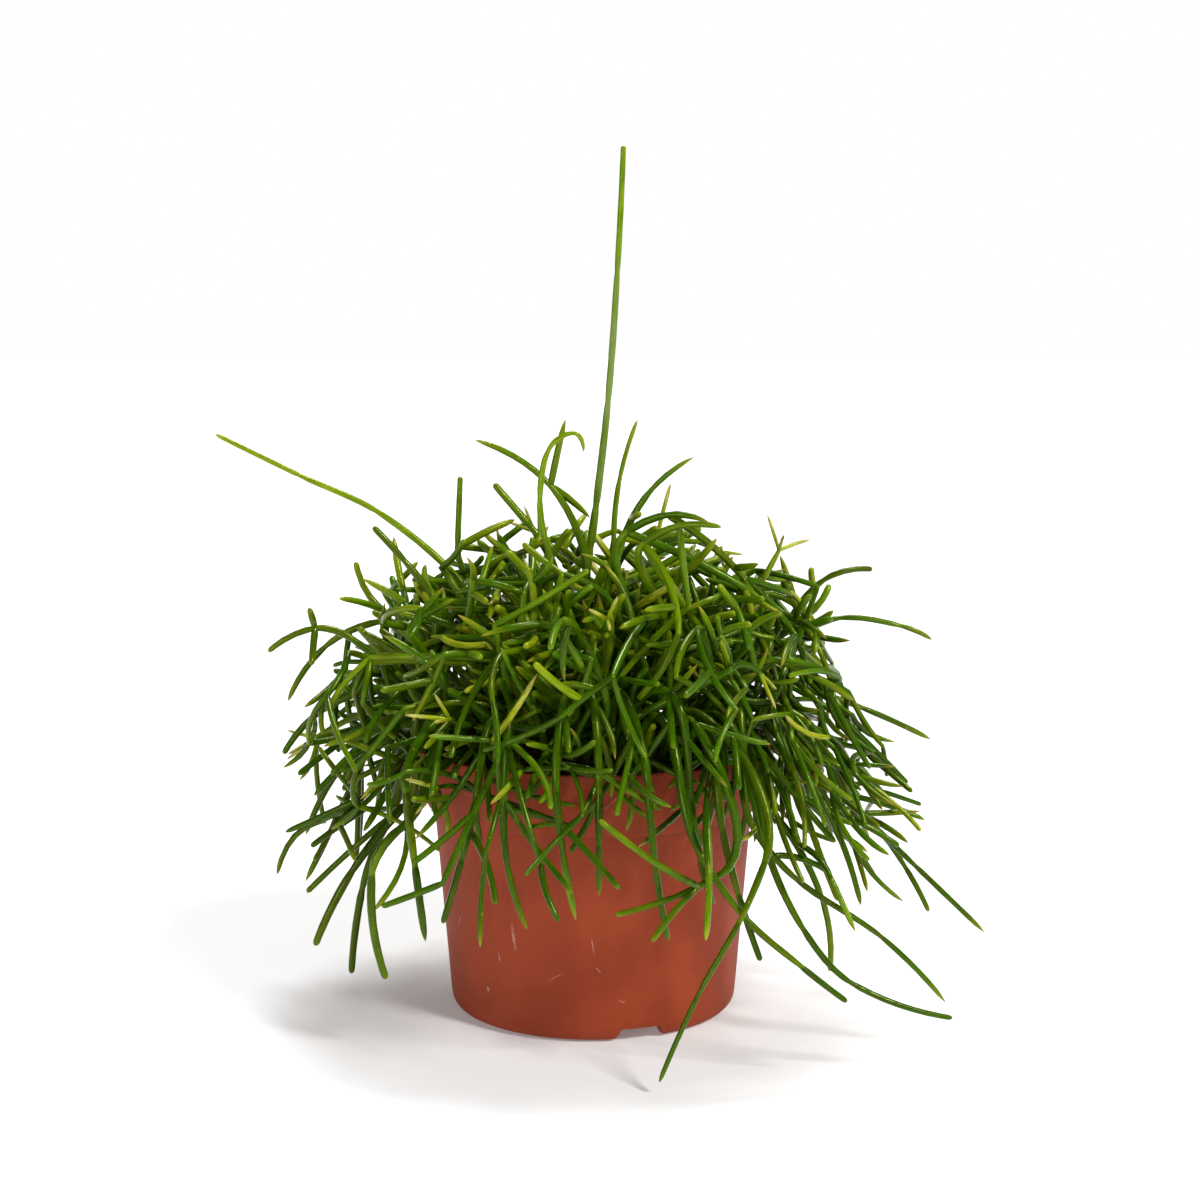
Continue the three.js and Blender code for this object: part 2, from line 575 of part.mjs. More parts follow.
function makeStem(stem) {
  const own = shoots.filter((shoot) => shoot.stem === stem);
  const followers = new Set(own.map(nextOf).filter(Boolean).map((shoot) => shoot.index));
  let solid = null;
  for (const head of own.filter((shoot) => !followers.has(shoot.index))) {
    const chain = [head];
    for (let next = nextOf(head); next; next = nextOf(next)) chain.push(next);
    const rod = rodOf(chain);
    solid = solid ? solid.add(rod) : rod;
  }
  return solid;
}

// ---------- soil ----------
function soilRadius(z) {
  const top = COLLAR_FOOT_Z + 1;
  const widening = (RIM_RADIUS - COLLAR_FOOT_RADIUS) / (POT_HEIGHT - top);
  if (z > top) return COLLAR_FOOT_RADIUS - WALL + widening * (z - top) - SOIL_GAP;
  return bodyRadius(z) - WALL - SOIL_GAP;
}

function makeSoil() {
  const floor = BASE_PLATE_Z + WALL + 0.4;
  const shoulder = COLLAR_FOOT_Z - 2.5;
  const outline = [[0, floor], [bodyRadius(0) - WALL - 4, floor], [soilRadius(floor + 4), floor + 4]];
  outline.push([soilRadius(shoulder), shoulder], [soilRadius(COLLAR_FOOT_Z + 2), COLLAR_FOOT_Z + 2]);
  outline.push([soilRadius(SOIL_Z - 1), SOIL_Z - 1]);
  for (const r of [46, 34, 20, 8, 0]) outline.push([r, SOIL_Z]);
  const geometry = turned(outline, SOIL_SIDES);
  const place = geometry.attributes.position;
  for (let i = 0; i < place.count; i += 1) {
    const [x, y, z] = [place.getX(i), place.getY(i), place.getZ(i)];
    if (z < SOIL_Z - 0.5) continue;
    const lump = Math.sin(0.31 * x + 1.7) * Math.cos(0.27 * y - 0.6) + 0.6 * Math.sin(0.55 * y + 0.42 * x);
    place.setZ(i, SOIL_Z + (SOIL_BUMP * lump) / 1.6);
  }
  let soil = toSolid(geometry);
  for (const [x, y, thick] of roots) {
    const radius = thick + HOLE_CLEARANCE;
    const hole = new THREE.CylinderGeometry(radius, radius, 2 * HOLE_DEPTH, 4);
    hole.rotateX(Math.PI / 2);
    hole.translate(x, y, SOIL_Z);
    soil = soil.subtract(toSolid(hole));
  }
  return soil;
}

// ---------- the whole part ----------
growPlant();

const part = new THREE.Group();
part.add(namedMesh('pot', makePot(), COLOURS.pot, 0.6));
part.add(namedMesh('soil', makeSoil(), COLOURS.soil, 0.95));
for (const stem of new Set(shoots.map((shoot) => shoot.stem))) {
  const colour = ['upright', 'leaning', 'young', 'pale'].includes(stem) ? COLOURS.young : COLOURS.stem;
  part.add(namedMesh(`stem_${stem}`, makeStem(stem), colour, 0.4));
}

export default part;
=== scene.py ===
"""A mistletoe cactus in its nursery pot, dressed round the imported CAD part."""

import json
import math

import bpy
import numpy as np
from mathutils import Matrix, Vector, noise

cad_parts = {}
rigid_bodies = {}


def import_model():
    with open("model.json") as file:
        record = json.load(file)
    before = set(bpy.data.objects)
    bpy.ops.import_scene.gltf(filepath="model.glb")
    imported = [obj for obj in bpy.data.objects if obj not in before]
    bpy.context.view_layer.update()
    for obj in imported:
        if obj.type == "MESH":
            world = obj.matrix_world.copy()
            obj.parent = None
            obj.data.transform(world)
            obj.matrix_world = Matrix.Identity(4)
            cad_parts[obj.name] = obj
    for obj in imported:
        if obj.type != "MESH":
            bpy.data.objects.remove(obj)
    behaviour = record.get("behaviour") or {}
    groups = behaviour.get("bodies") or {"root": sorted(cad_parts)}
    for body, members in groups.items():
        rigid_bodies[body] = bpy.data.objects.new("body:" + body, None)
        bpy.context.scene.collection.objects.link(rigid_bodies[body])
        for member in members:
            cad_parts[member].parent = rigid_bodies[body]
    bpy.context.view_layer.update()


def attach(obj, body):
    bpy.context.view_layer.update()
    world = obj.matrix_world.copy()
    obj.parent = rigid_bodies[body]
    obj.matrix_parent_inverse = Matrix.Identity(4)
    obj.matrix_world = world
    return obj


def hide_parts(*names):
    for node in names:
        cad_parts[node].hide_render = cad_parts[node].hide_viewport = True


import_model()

# ---------------------------------------------------------------------------------------- pot
# A 12 cm nursery pot, injection moulded in one shot from matt terracotta-coloured plastic. Its
# wall flares to a stepped collar. Three notches through the foot ring and six holes in the base
# let the water out.
MM = 0.001
RIM_RADIUS = 60
POT_HEIGHT = 90
COLLAR_FOOT_Z = 69.4
COLLAR_FOOT_RADIUS = 56.2
BODY_TOP_RADIUS = 53.9
BASE_RADIUS = 48.1
WALL = 1.5
BASE_FILLET = 5.2
BASE_PLATE_Z = 5
FOOT_RING_INNER = 41.4
POT_SIDES = 180
NOTCH_DEGREES = (-71, 49, 169)
NOTCH_WIDTH = 16
NOTCH_HEIGHT = 4.4
NOTCH_FLARE = 1.5
NOTCH_START = FOOT_RING_INNER - 2
NOTCH_END = FOOT_RING_INNER + 12
DRAIN_HOLES = 6
DRAIN_HOLE_RADIUS = 4
DRAIN_CIRCLE_RADIUS = 31


def size(v):
    return math.sqrt(v @ v)


def unit(v):
    return v / size(v)


def place(*xyz):
    return np.array(xyz, float)


def round_axis(radius, turn, up=0.0):
    """The place at a radius and an angle round the Z axis."""
    return place(radius * math.cos(turn), radius * math.sin(turn), up)


def turned(x, y, up, turn):
    """The place (x, y, up), turned by an angle round the Z axis."""
    return place(x * math.cos(turn) - y * math.sin(turn), x * math.sin(turn) + y * math.cos(turn), up)


def rounded(corners, steps):
    """The outline through corners of (radius, height, rounding), with an arc at each corner."""
    outline = []
    for i, (radius, up, rounding) in enumerate(corners):
        corner = place(radius, up)
        if not rounding:
            outline.append(corner)
            continue
        back = unit(place(*corners[i - 1][:2]) - corner)
        on = unit(place(*corners[i + 1][:2]) - corner)
        setback = rounding / math.tan(math.acos(back @ on) / 2)
        for k in range(steps + 1):
            t = k / steps
            outline.append(corner + setback * ((1 - t) ** 2 * back + t ** 2 * on))
    return outline


def lathe(outline, sides):
    """Points and faces of a closed form turned round the Z axis; the outline starts and ends on it."""
    points = [place(0, 0, outline[0][1])]
    for radius, up in outline[1:-1]:
        points += [round_axis(radius, 2 * math.pi * k / sides, up) for k in range(sides)]
    points.append(place(0, 0, outline[-1][1]))
    rings = len(outline) - 2
    faces = []
    for k in range(sides):
        after = (k + 1) % sides
        faces.append((0, 1 + after, 1 + k))
        for ring in range(rings - 1):
            low, high = 1 + ring * sides, 1 + (ring + 1) * sides
            faces.append((low + k, low + after, high + after, high + k))
        last = 1 + (rings - 1) * sides
        faces.append((last + k, last + after, len(points) - 1))
    return points, faces


def make_piece(name, points, faces, material=None, marks=None):
    """A mesh object from points in millimetres, with each of the marks kept as an attribute."""
    mesh = bpy.data.meshes.new(name)
    mesh.from_pydata((np.array(points) * MM).tolist(), [], faces)
    for mark, values in (marks or {}).items():
        values = np.array(values, np.float32)
        kind, field = ("FLOAT_VECTOR", "vector") if values.ndim > 1 else ("FLOAT", "value")
        mesh.attributes.new(mark, kind, "POINT").data.foreach_set(field, values.ravel())
    mesh.shade_smooth()
    piece = bpy.data.objects.new(name, mesh)
    bpy.context.scene.collection.objects.link(piece)
    if material:
        mesh.materials.append(material)
    return piece


def gather(forms):
    """Many forms, each (points, faces), as the points and faces of one."""
    points, faces = [], []
    for form_points, form_faces in forms:
        faces += [tuple(len(points) + corner for corner in face) for face in form_faces]
        points += form_points
    return points, faces


def notch_block(degrees):
    """A block across the foot ring, wider at the floor than at its top."""
    low, high = NOTCH_WIDTH / 2 + NOTCH_FLARE, NOTCH_WIDTH / 2 - NOTCH_FLARE
    corners = ((-low, -1), (low, -1), (high, NOTCH_HEIGHT), (-high, NOTCH_HEIGHT))
    points = []
    for out in (NOTCH_START, NOTCH_END):
        points += [turned(out, aside, up, math.radians(degrees)) for aside, up in corners]
    faces = [(3, 2, 1, 0), (4, 5, 6, 7)]
    faces += [(k, (k + 1) % 4, 4 + (k + 1) % 4, 4 + k) for k in range(4)]
    return points, faces


def drain_peg(number):
    """A round peg through the base plate."""
    low, high = BASE_PLATE_Z - 4, BASE_PLATE_Z + 4
    points, faces = lathe([(0, low), (DRAIN_HOLE_RADIUS, low), (DRAIN_HOLE_RADIUS, high), (0, high)], 32)
    centre = round_axis(DRAIN_CIRCLE_RADIUS, 2 * math.pi * number / DRAIN_HOLES)
    return [point + centre for point in points], faces


def cut_away(piece, blocks):
    """Cuts the blocks, each (points, faces), out of the piece's mesh."""
    tool = make_piece("tool", *gather(blocks))
    cut = piece.modifiers.new("cut", "BOOLEAN")
    cut.object = tool
    cut.operation = "DIFFERENCE"
    cut.solver = "EXACT"
    whole = piece.evaluated_get(bpy.context.evaluated_depsgraph_get())
    mesh = bpy.data.meshes.new_from_object(whole)
    piece.modifiers.clear()
    piece.data = mesh
    bpy.data.objects.remove(tool)


def body_radius(up):
    """The outer radius of the tapered body at a height."""
    return BASE_RADIUS + (BODY_TOP_RADIUS - BASE_RADIUS) * up / COLLAR_FOOT_Z


class Value:
    """A number or colour that changes over a surface. Sums on it add Math nodes."""

    def __init__(self, finish, socket):
        self.finish = finish
        self.socket = socket

    def maths(self, operation, *terms):
        return self.finish.add("Math", {"operation": operation}, dict(enumerate(terms)))

    def __add__(self, other):
        return self.maths("ADD", self, other)

    def __radd__(self, other):
        return self.maths("ADD", other, self)

    def __sub__(self, other):
        return self.maths("SUBTRACT", self, other)

    def __rsub__(self, other):
        return self.maths("SUBTRACT", other, self)

    def __mul__(self, other):
        return self.maths("MULTIPLY", self, other)

    def __rmul__(self, other):
        return self.maths("MULTIPLY", other, self)

    def between(self, low, high):
        """0 where it is under low, 1 where it is over high, and smooth between them."""
        settings = {"interpolation_type": "SMOOTHSTEP"}
        return self.finish.add("MapRange", settings, {"Value": self, "From Min": low, "From Max": high})


class Finish:
    """A material as it is put together. Every node of it is placed by add()."""

    def __init__(self, name):
        self.material = bpy.data.materials.new(name)
        self.material.use_nodes = True
        self.tree = self.material.node_tree
        self.tree.nodes.clear()

    def add(self, kind, settings, sockets, output=None):
        """Places a node, with its settings first, and gives the output named, or else its first."""
        node = self.tree.nodes.new("ShaderNode" + kind)
        for name, setting in settings.items():
            if name == "stops":
                self.set_stops(node.color_ramp, setting)
            else:
                setattr(node, name, setting)
        for name, value in sockets.items():
            socket = node.inputs[name]
            if isinstance(name, str):
                socket = next(one for one in node.inputs if one.name == name and one.enabled)
            if isinstance(value, Value):
                self.tree.links.new(value.socket, socket)
            else:
                socket.default_value = value
        shown = [one for one in node.outputs if one.enabled and output in (None, one.name)]
        return Value(self, shown[0]) if shown else None

    def set_stops(self, ramp, stops):
        while len(ramp.elements) < len(stops):
            ramp.elements.new(1)
        for element, (at, colour) in zip(ramp.elements, stops):
            element.position = at
            element.color = colour

    def mark(self, name, output="Fac"):
        return self.add("Attribute", {"attribute_name": name}, {}, output)

    def mixed(self, colour, other, share):
        return self.add("Mix", {"data_type": "RGBA"}, {"Factor": share, "A": colour, "B": other})

    def stretched(self, vector, scale):
        return self.add("VectorMath", {"operation": "MULTIPLY"}, {0: vector, 1: scale})

    def grain(self, vector, scale, detail=3, rough=0.55):
        sockets = {"Vector": vector, "Scale": scale, "Detail": detail, "Roughness": rough}
        return self.add("TexNoise", {}, sockets, "Fac")

    def surface(self, sockets):
        shader = self.add("BsdfPrincipled", {}, sockets)
        self.add("OutputMaterial", {}, {"Surface": shader})
        return self.material


# Each scuff is (degrees round the pot, height, lean in degrees, length, width).
SCUFF_DEPTH = 4
SCUFFS = [
    (-120, 34, 84, 12, 1.6),
    (-127, 26, 78, 5, 0.9),
    (-104, 22, -30, 7, 0.8),
    (-134, 14, 60, 3, 1.8),
    (-88, 25, 55, 4, 0.8),
    (-90, 33, 80, 8, 0.5),
    (-79, 14, 20, 3, 1.0),
    (20, 30, 70, 9, 1.0),
    (75, 22, -35, 6, 0.9),
    (118, 40, 80, 8, 1.2),
    (150, 14, 15, 5, 1.0),
    (-150, 34, -60, 7, 0.8),
]
TERRACOTTA = (0.296, 0.0415, 0.0105, 1)
TERRACOTTA_DULL = (0.232, 0.0335, 0.0084, 1)
TERRACOTTA_BRIGHT = (0.355, 0.0590, 0.0205, 1)
CHALK = (0.62, 0.42, 0.36, 1)
DIRT_AND_SHADE = (0.085, 0.030, 0.016, 1)
# Painted shade darkens the crease under the collar, and dirt gathers round the foot.
CREASE_Z = COLLAR_FOOT_Z - 0.6
CREASE_WIDTH = 1.6
GRIMY_HEIGHT = 12


def scuff_mask(finish, spot, scuffs):
    """1 along each scuff, fading to 0 at its ends and sides."""
    mask = 0
    for degrees, up, lean, length, width in scuffs:
        turn = math.radians(degrees)
        sockets = {"Vector": spot, "Location": round_axis(body_radius(up), turn, up) * MM}
        sockets["Rotation"] = (0, math.radians(lean), turn + math.pi / 2)
        sockets["Scale"] = (length / 2 * MM, SCUFF_DEPTH * MM, width / 2 * MM)
        local = finish.add("Mapping", {"vector_type": "TEXTURE"}, sockets)
        reach = finish.add("VectorMath", {"operation": "LENGTH"}, {0: local}, "Value")
        mask = mask + (1 - reach.between(0.2, 1))
    return mask


def pot_finish():
    """Matt plastic, a little cloudy, with painted shade in the crease, dirt at the foot, and pale scuffs."""
    finish = Finish("matt_terracotta_plastic")
    spot = finish.add("TexCoord", {}, {}, "Object")
    height = finish.add("SeparateXYZ", {}, {"Vector": spot}, "Z")
    clouds = finish.grain(spot, 38, 4)
    speckle = finish.grain(spot, 900, 2)
    colour = finish.mixed(TERRACOTTA_DULL, TERRACOTTA_BRIGHT, clouds.between(0.3, 0.72))
    colour = finish.mixed(colour, TERRACOTTA, 0.45)
    colour = finish.mixed(colour, TERRACOTTA_DULL, speckle.between(0.55, 0.8) * 0.35)
    from_crease = finish.add("Math", {"operation": "ABSOLUTE"}, {0: height - CREASE_Z * MM})
    crease_shade = 1 - from_crease.between(0, CREASE_WIDTH * MM)
    foot = 1 - height.between(0, GRIMY_HEIGHT * MM)
    grime = finish.grain(spot, 130, 5).between(0.55, 0.75)
    # Painted shade: the crease under the collar is darkened, as if in the shadow of the step.
    colour = finish.mixed(colour, DIRT_AND_SHADE, crease_shade * 0.12)
    colour = finish.mixed(colour, DIRT_AND_SHADE, grime * foot * 0.30)
    smudge = finish.grain(finish.stretched(spot, (1, 1, 0.35)), 75, 5).between(0.62, 0.78)
    colour = finish.mixed(colour, DIRT_AND_SHADE, smudge * 0.18)
    patchy = finish.grain(spot, 1400, 2).between(0.35, 0.6)
    scuffed = scuff_mask(finish, spot, SCUFFS) * patchy
    colour = finish.mixed(colour, CHALK, scuffed * 0.55)
    sheen = 0.56 + clouds * 0.14 - scuffed * 0.1
    pitted = speckle * 0.7 + finish.grain(spot, 2600, 2) * 0.3
    bump = finish.add("Bump", {}, {"Strength": 0.22, "Distance": 0.12 * MM, "Height": pitted})
    return finish.surface({"Base Color": colour, "Roughness": sheen, "Normal": bump, "IOR": 1.28})


pot_corners = [
    (0, BASE_PLATE_Z, 0),
    (FOOT_RING_INNER, BASE_PLATE_Z, 0.6),
    (FOOT_RING_INNER, 0, 0.5),
    (BASE_RADIUS, 0, BASE_FILLET),
    (BODY_TOP_RADIUS, COLLAR_FOOT_Z - 0.3, 0.35),
    (COLLAR_FOOT_RADIUS, COLLAR_FOOT_Z + 0.1, 0.9),
    (RIM_RADIUS, POT_HEIGHT, 0.6),
    (RIM_RADIUS - WALL, POT_HEIGHT, 0.6),
    (COLLAR_FOOT_RADIUS - WALL, COLLAR_FOOT_Z + 1, 1.2),
    (BODY_TOP_RADIUS - WALL, COLLAR_FOOT_Z - 1.5, 1.2),
    (body_radius(BASE_PLATE_Z) - WALL, BASE_PLATE_Z + WALL, 4),
    (0, BASE_PLATE_Z + WALL, 0),
]
pot = make_piece("nursery_pot", *lathe(rounded(pot_corners, 7), POT_SIDES))
notches = [notch_block(degrees) for degrees in NOTCH_DEGREES]
cut_away(pot, notches + [drain_peg(number) for number in range(DRAIN_HOLES)])
pot.data.materials.clear()
pot.data.materials.append(pot_finish())
pot.data.set_sharp_from_angle(angle=math.radians(32))
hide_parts("pot")
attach(pot, "root")

# --------------------------------------------------------------------------------------- soil
# Dark peat, pressed in by hand to 5 mm under the rim. Its top is loose and lumpy, and holds
# strands of root fibre and chips of bark.
SOIL_Z = 85
SOIL_GAP = 0.6
SOIL_BUMP = 1.5
SOIL_RINGS = 46
SOIL_SIDES = 150
PLUG_FLOOR = 8
CRUMB_COUNT = 1500
SPILT_CRUMBS = 9
SPILT_DEGREES = (150, 172)
FIBRE_COUNT = 46
FIBRE_STEP = 1.7
STREWN_RADIUS = 50
CHIP_COUNT = 16
# The one fibre that hangs over the pot's rim, as (x, y, z).
HANGING_FIBRE = [
    (9, -52, 86),
    (10.5, -57, 89),
    (11.5, -60.2, 90.4),
    (10, -60.8, 86),
    (6.5, -60.2, 82),
    (4, -59.2, 79.5),
]
PEAT_DARK = (0.013, 0.0080, 0.0052, 1)
PEAT = (0.034, 0.020, 0.012, 1)
PEAT_DRY = (0.075, 0.044, 0.026, 1)
FIBRE_TAN = (0.42, 0.27, 0.14, 1)


def soil_top(x, y):
    """The height of the peat: the broad lumps of the solid, with small ones on them."""
    lump = math.sin(0.31 * x + 1.7) * math.cos(0.27 * y - 0.6) + 0.6 * math.sin(0.55 * y + 0.42 * x)
    small = noise.fractal(Vector((0.35 * x, 0.35 * y, 3.1)), 1.0, 2.0, 4)
    return SOIL_Z + SOIL_BUMP * lump / 1.6 + 0.8 * small


def soil_radius(up):
    """The radius of the peat at a height in the pot's collar."""
    flare = (RIM_RADIUS - COLLAR_FOOT_RADIUS) * (up - COLLAR_FOOT_Z - 1) / (POT_HEIGHT - COLLAR_FOOT_Z - 1)
    return COLLAR_FOOT_RADIUS - WALL + flare - SOIL_GAP


def peat_form():
    """The root ball: a smooth plug that follows the pot's wall, under a lumpy top."""
    plug = [(0, PLUG_FLOOR), (body_radius(PLUG_FLOOR) - WALL - 4, PLUG_FLOOR)]
    plug += [(body_radius(up) - WALL - SOIL_GAP, up) for up in (PLUG_FLOOR + 6, COLLAR_FOOT_Z - 3.4)]
    plug += [(soil_radius(up), up) for up in (COLLAR_FOOT_Z + 2.6, SOIL_Z - 3)]
    top = [(soil_radius(SOIL_Z) * (1 - k / SOIL_RINGS), SOIL_Z) for k in range(SOIL_RINGS + 1)]
    points, faces = lathe(plug + top, SOIL_SIDES)
    for point in points:
        if point[2] > SOIL_Z - 1:
            point[2] = soil_top(point[0], point[1])
    return points, faces


def peat_finish(name, dark, plain, dry):
    """Lumpy and rough: dark in its hollows and dry on its grains."""
    finish = Finish(name)
    spot = finish.add("TexCoord", {}, {}, "Object")
    lumps = finish.grain(spot, 260, 6, 0.65)
    fine = finish.grain(spot, 1500, 3, 0.7)
    colour = finish.mixed(dark, plain, lumps.between(0.35, 0.65))
    colour = finish.mixed(colour, dry, fine.between(0.58, 0.78) * 0.7)
    bump = finish.add("Bump", {}, {"Strength": 0.9, "Distance": 0.5 * MM, "Height": lumps + fine * 0.4})
    return finish.surface({"Base Color": colour, "Roughness": 0.85 + fine * 0.15, "Normal": bump})


def anywhere(dice, field):
    """A chance place on the peat, as x and y."""
    out = field * math.sqrt(dice.uniform(0, 1))
    turn = dice.uniform(0, 2 * math.pi)
    return out * math.cos(turn), out * math.sin(turn)


def crumb(centre, reach, dice):
    """One uneven lump of peat."""
    points, faces = lathe([(0, -1), (0.75, -0.6), (1, 0), (0.75, 0.6), (0, 1)], 7)
    squash = dice.uniform(0.6, 1.1, 3)
    turn = dice.uniform(0, 2 * math.pi)
    shaped = []
    for point in points:
        x, y, z = point * squash * reach * dice.uniform(0.75, 1.2)
        shaped.append(centre + turned(x, y, z, turn))
    return shaped, faces


def across(a, b):
    """The vector at right angles to both."""
    return place(a[1] * b[2] - a[2] * b[1], a[2] * b[0] - a[0] * b[2], a[0] * b[1] - a[1] * b[0])


def beside(way):
    """A vector at right angles to a way: level, unless the way is nearly upright."""
    return unit(across(way, place(0, 0, 1) if abs(way[2]) < 0.9 else place(1, 0, 0)))


def strand(route, thick, sides=5):
    """A thin round strand along a route of points, closed at both ends."""
    points, faces = [], [tuple(reversed(range(sides)))]
    for i, at in enumerate(route):
        way = unit(route[min(i + 1, len(route) - 1)] - route[max(i - 1, 0)])
        side = beside(way)
        over = across(way, side)
        for k in range(sides):
            turn = 2 * math.pi * k / sides
            points.append(at + thick * (math.cos(turn) * side + math.sin(turn) * over))
            if i < len(route) - 1:
                a, b = sides * i + k, sides * i + (k + 1) % sides
                faces.append((a, b, b + sides, a + sides))
    faces.append(tuple(sides * (len(route) - 1) + k for k in range(sides)))
    return points, faces


def crumbs():
    """Loose crumbs all over the peat, and a few spilt on the rim."""
    dice = np.random.RandomState(11)
    forms = []
    for _ in range(CRUMB_COUNT):
        x, y = anywhere(dice, soil_radius(SOIL_Z) - 1)
        reach = 0.35 + 1.3 * dice.uniform(0, 1) ** 3
        forms.append(crumb(place(x, y, soil_top(x, y) + 0.3 * reach), reach, dice))
    for degrees in dice.uniform(*SPILT_DEGREES, SPILT_CRUMBS):
        out = RIM_RADIUS - dice.uniform(0.2, 1.4)
        reach = dice.uniform(0.3, 0.9)
        on_rim = round_axis(out, math.radians(degrees), POT_HEIGHT + 0.5 * reach)
        forms.append(crumb(on_rim, reach, dice))
    return gather(forms)


def fibres():
    """Curled strands of dead root that lie on the peat, and the one over the rim."""
    dice = np.random.RandomState(12)
    forms = []
    for _ in range(FIBRE_COUNT):
        x, y = anywhere(dice, STREWN_RADIUS)
        heading = dice.uniform(0, 2 * math.pi)
        curl = dice.uniform(-0.35, 0.35)
        arch = dice.uniform(0.4, 2.4)
        route = []
        steps = dice.randint(6, 12)
        for k in range(steps):
            route.append(place(x, y, soil_top(x, y) + 0.2 + arch * math.sin(math.pi * k / (steps - 1))))
            x += FIBRE_STEP * math.cos(heading)
            y += FIBRE_STEP * math.sin(heading)
            heading += curl
            if math.hypot(x, y) > soil_radius(SOIL_Z) - 1:
                break
        if len(route) > 3:
            forms.append(strand(route, dice.uniform(0.09, 0.2)))
    forms.append(strand([place(*at) for at in HANGING_FIBRE], 0.16))
    return gather(forms)


def bark_chips():
    dice = np.random.RandomState(13)
    forms = []
    for _ in range(CHIP_COUNT):
        x, y = anywhere(dice, STREWN_RADIUS)
        forms.append(crumb(place(x, y, soil_top(x, y) + 0.6), dice.uniform(1.2, 2.6), dice))
    return gather(forms)


damp = peat_finish("damp_peat", PEAT_DARK, PEAT, PEAT_DRY)
loose = peat_finish("loose_peat", PEAT_DARK, PEAT, PEAT_DRY)
bark = peat_finish("bark", PEAT, PEAT_DRY, FIBRE_TAN)
dry_fibre = peat_finish("dry_fibre", PEAT_DRY, FIBRE_TAN, FIBRE_TAN)
peat = make_piece("peat", *peat_form(), damp)
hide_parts("soil")
peat_crumbs = make_piece("peat_crumbs", *crumbs(), loose)
chips = make_piece("bark_chips", *bark_chips(), bark)
root_fibres = make_piece("root_fibres", *fibres(), dry_fibre)
for piece in (peat, peat_crumbs, chips, root_fibres):
    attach(piece, "root")

# ----------------------------------------------------------------------- the plant's growth
# A mistletoe cactus has no leaves. It branches from joint to joint in whorls of fleshy shoots,
# which rise from the peat, arch over the rim and hang down round the pot. They grow here by the
# same rule as the solids, which stop at SHOOT_COUNT, and go on to finer shoots.
ROOT_DEPTH = 13
COLLAR_RISE = 3
ROOT_FIELD = 47.5
ROOT_SPACING = 5.8
CROWN_CENTRE_X = -3
CROWN_REACH = 102
CROWN_DEPTH = 1.08
CROWN_TAPER = 0.42
LEAST_SHARE = 0.78
MOST_SHARE = 1.05
CROWN_TOP_Z = 161
WAIST_Z = 76
SKIRT_Z = 40
CORE_SPACING = 2.5
HEM_SPACING = 10
HEM_TOP_Z = 92
# Thicknesses are from the middle of a shoot to its skin.
STEM_THICKNESS = 1.5
SHOOT_THICKNESS = 1.35
LEAST_THICKNESS = 0.95
MOST_THICKNESS = 2.5
SLIMMING = 0.22
SHOOT_LENGTH = 42
FREE_STEMS = 14
SHOOT_COUNT = 500
STEM_GAP = 0.45
SHOOT_GAP = 0.5
LEAST_HEIGHT = 3
OVER_SOIL_RADIUS = 50
MOST_MISSES = 600
SEED = 7
DICE_FACTOR = 48271
DICE_LIMIT = 2147483647
# The finer shoots, which the solids leave out: all through the crown, then short stubs on its top
# and a fringe beside the pot's rim.
FINE_COUNT = 1670
FINE_LENGTH = 28
FINE_THICKNESS = 1.25
FINE_GAP = 0.2
FINE_HEM_Z = 44
STUB_COUNT = 150
STUB_LENGTH = 15
FRINGE_COUNT = 110
FRINGE_LENGTH = 26
SKIN_TRIES = 12000
# Places next to which the crown puts out new growth, and how thick that is.
NEW_WHORLS = [
    (-55, -62, 106),
    (6, -72, 138),
    (-58, -66, 84),
    (50, -62, 120),
    (84, 40, 96),
    (20, 86, 104),
    (-62, 66, 112),
    (-98, 10, 84),
    (40, 40, 156),
    (-20, 30, 158),
]
NEW_THICKNESS = 0.65
# A shoot's rank is how many joints it is from its rooted stem. These three kinds have a set rank.
ROW_RANK = 1
SIDE_RANK = 3
NEW_RANK = 9

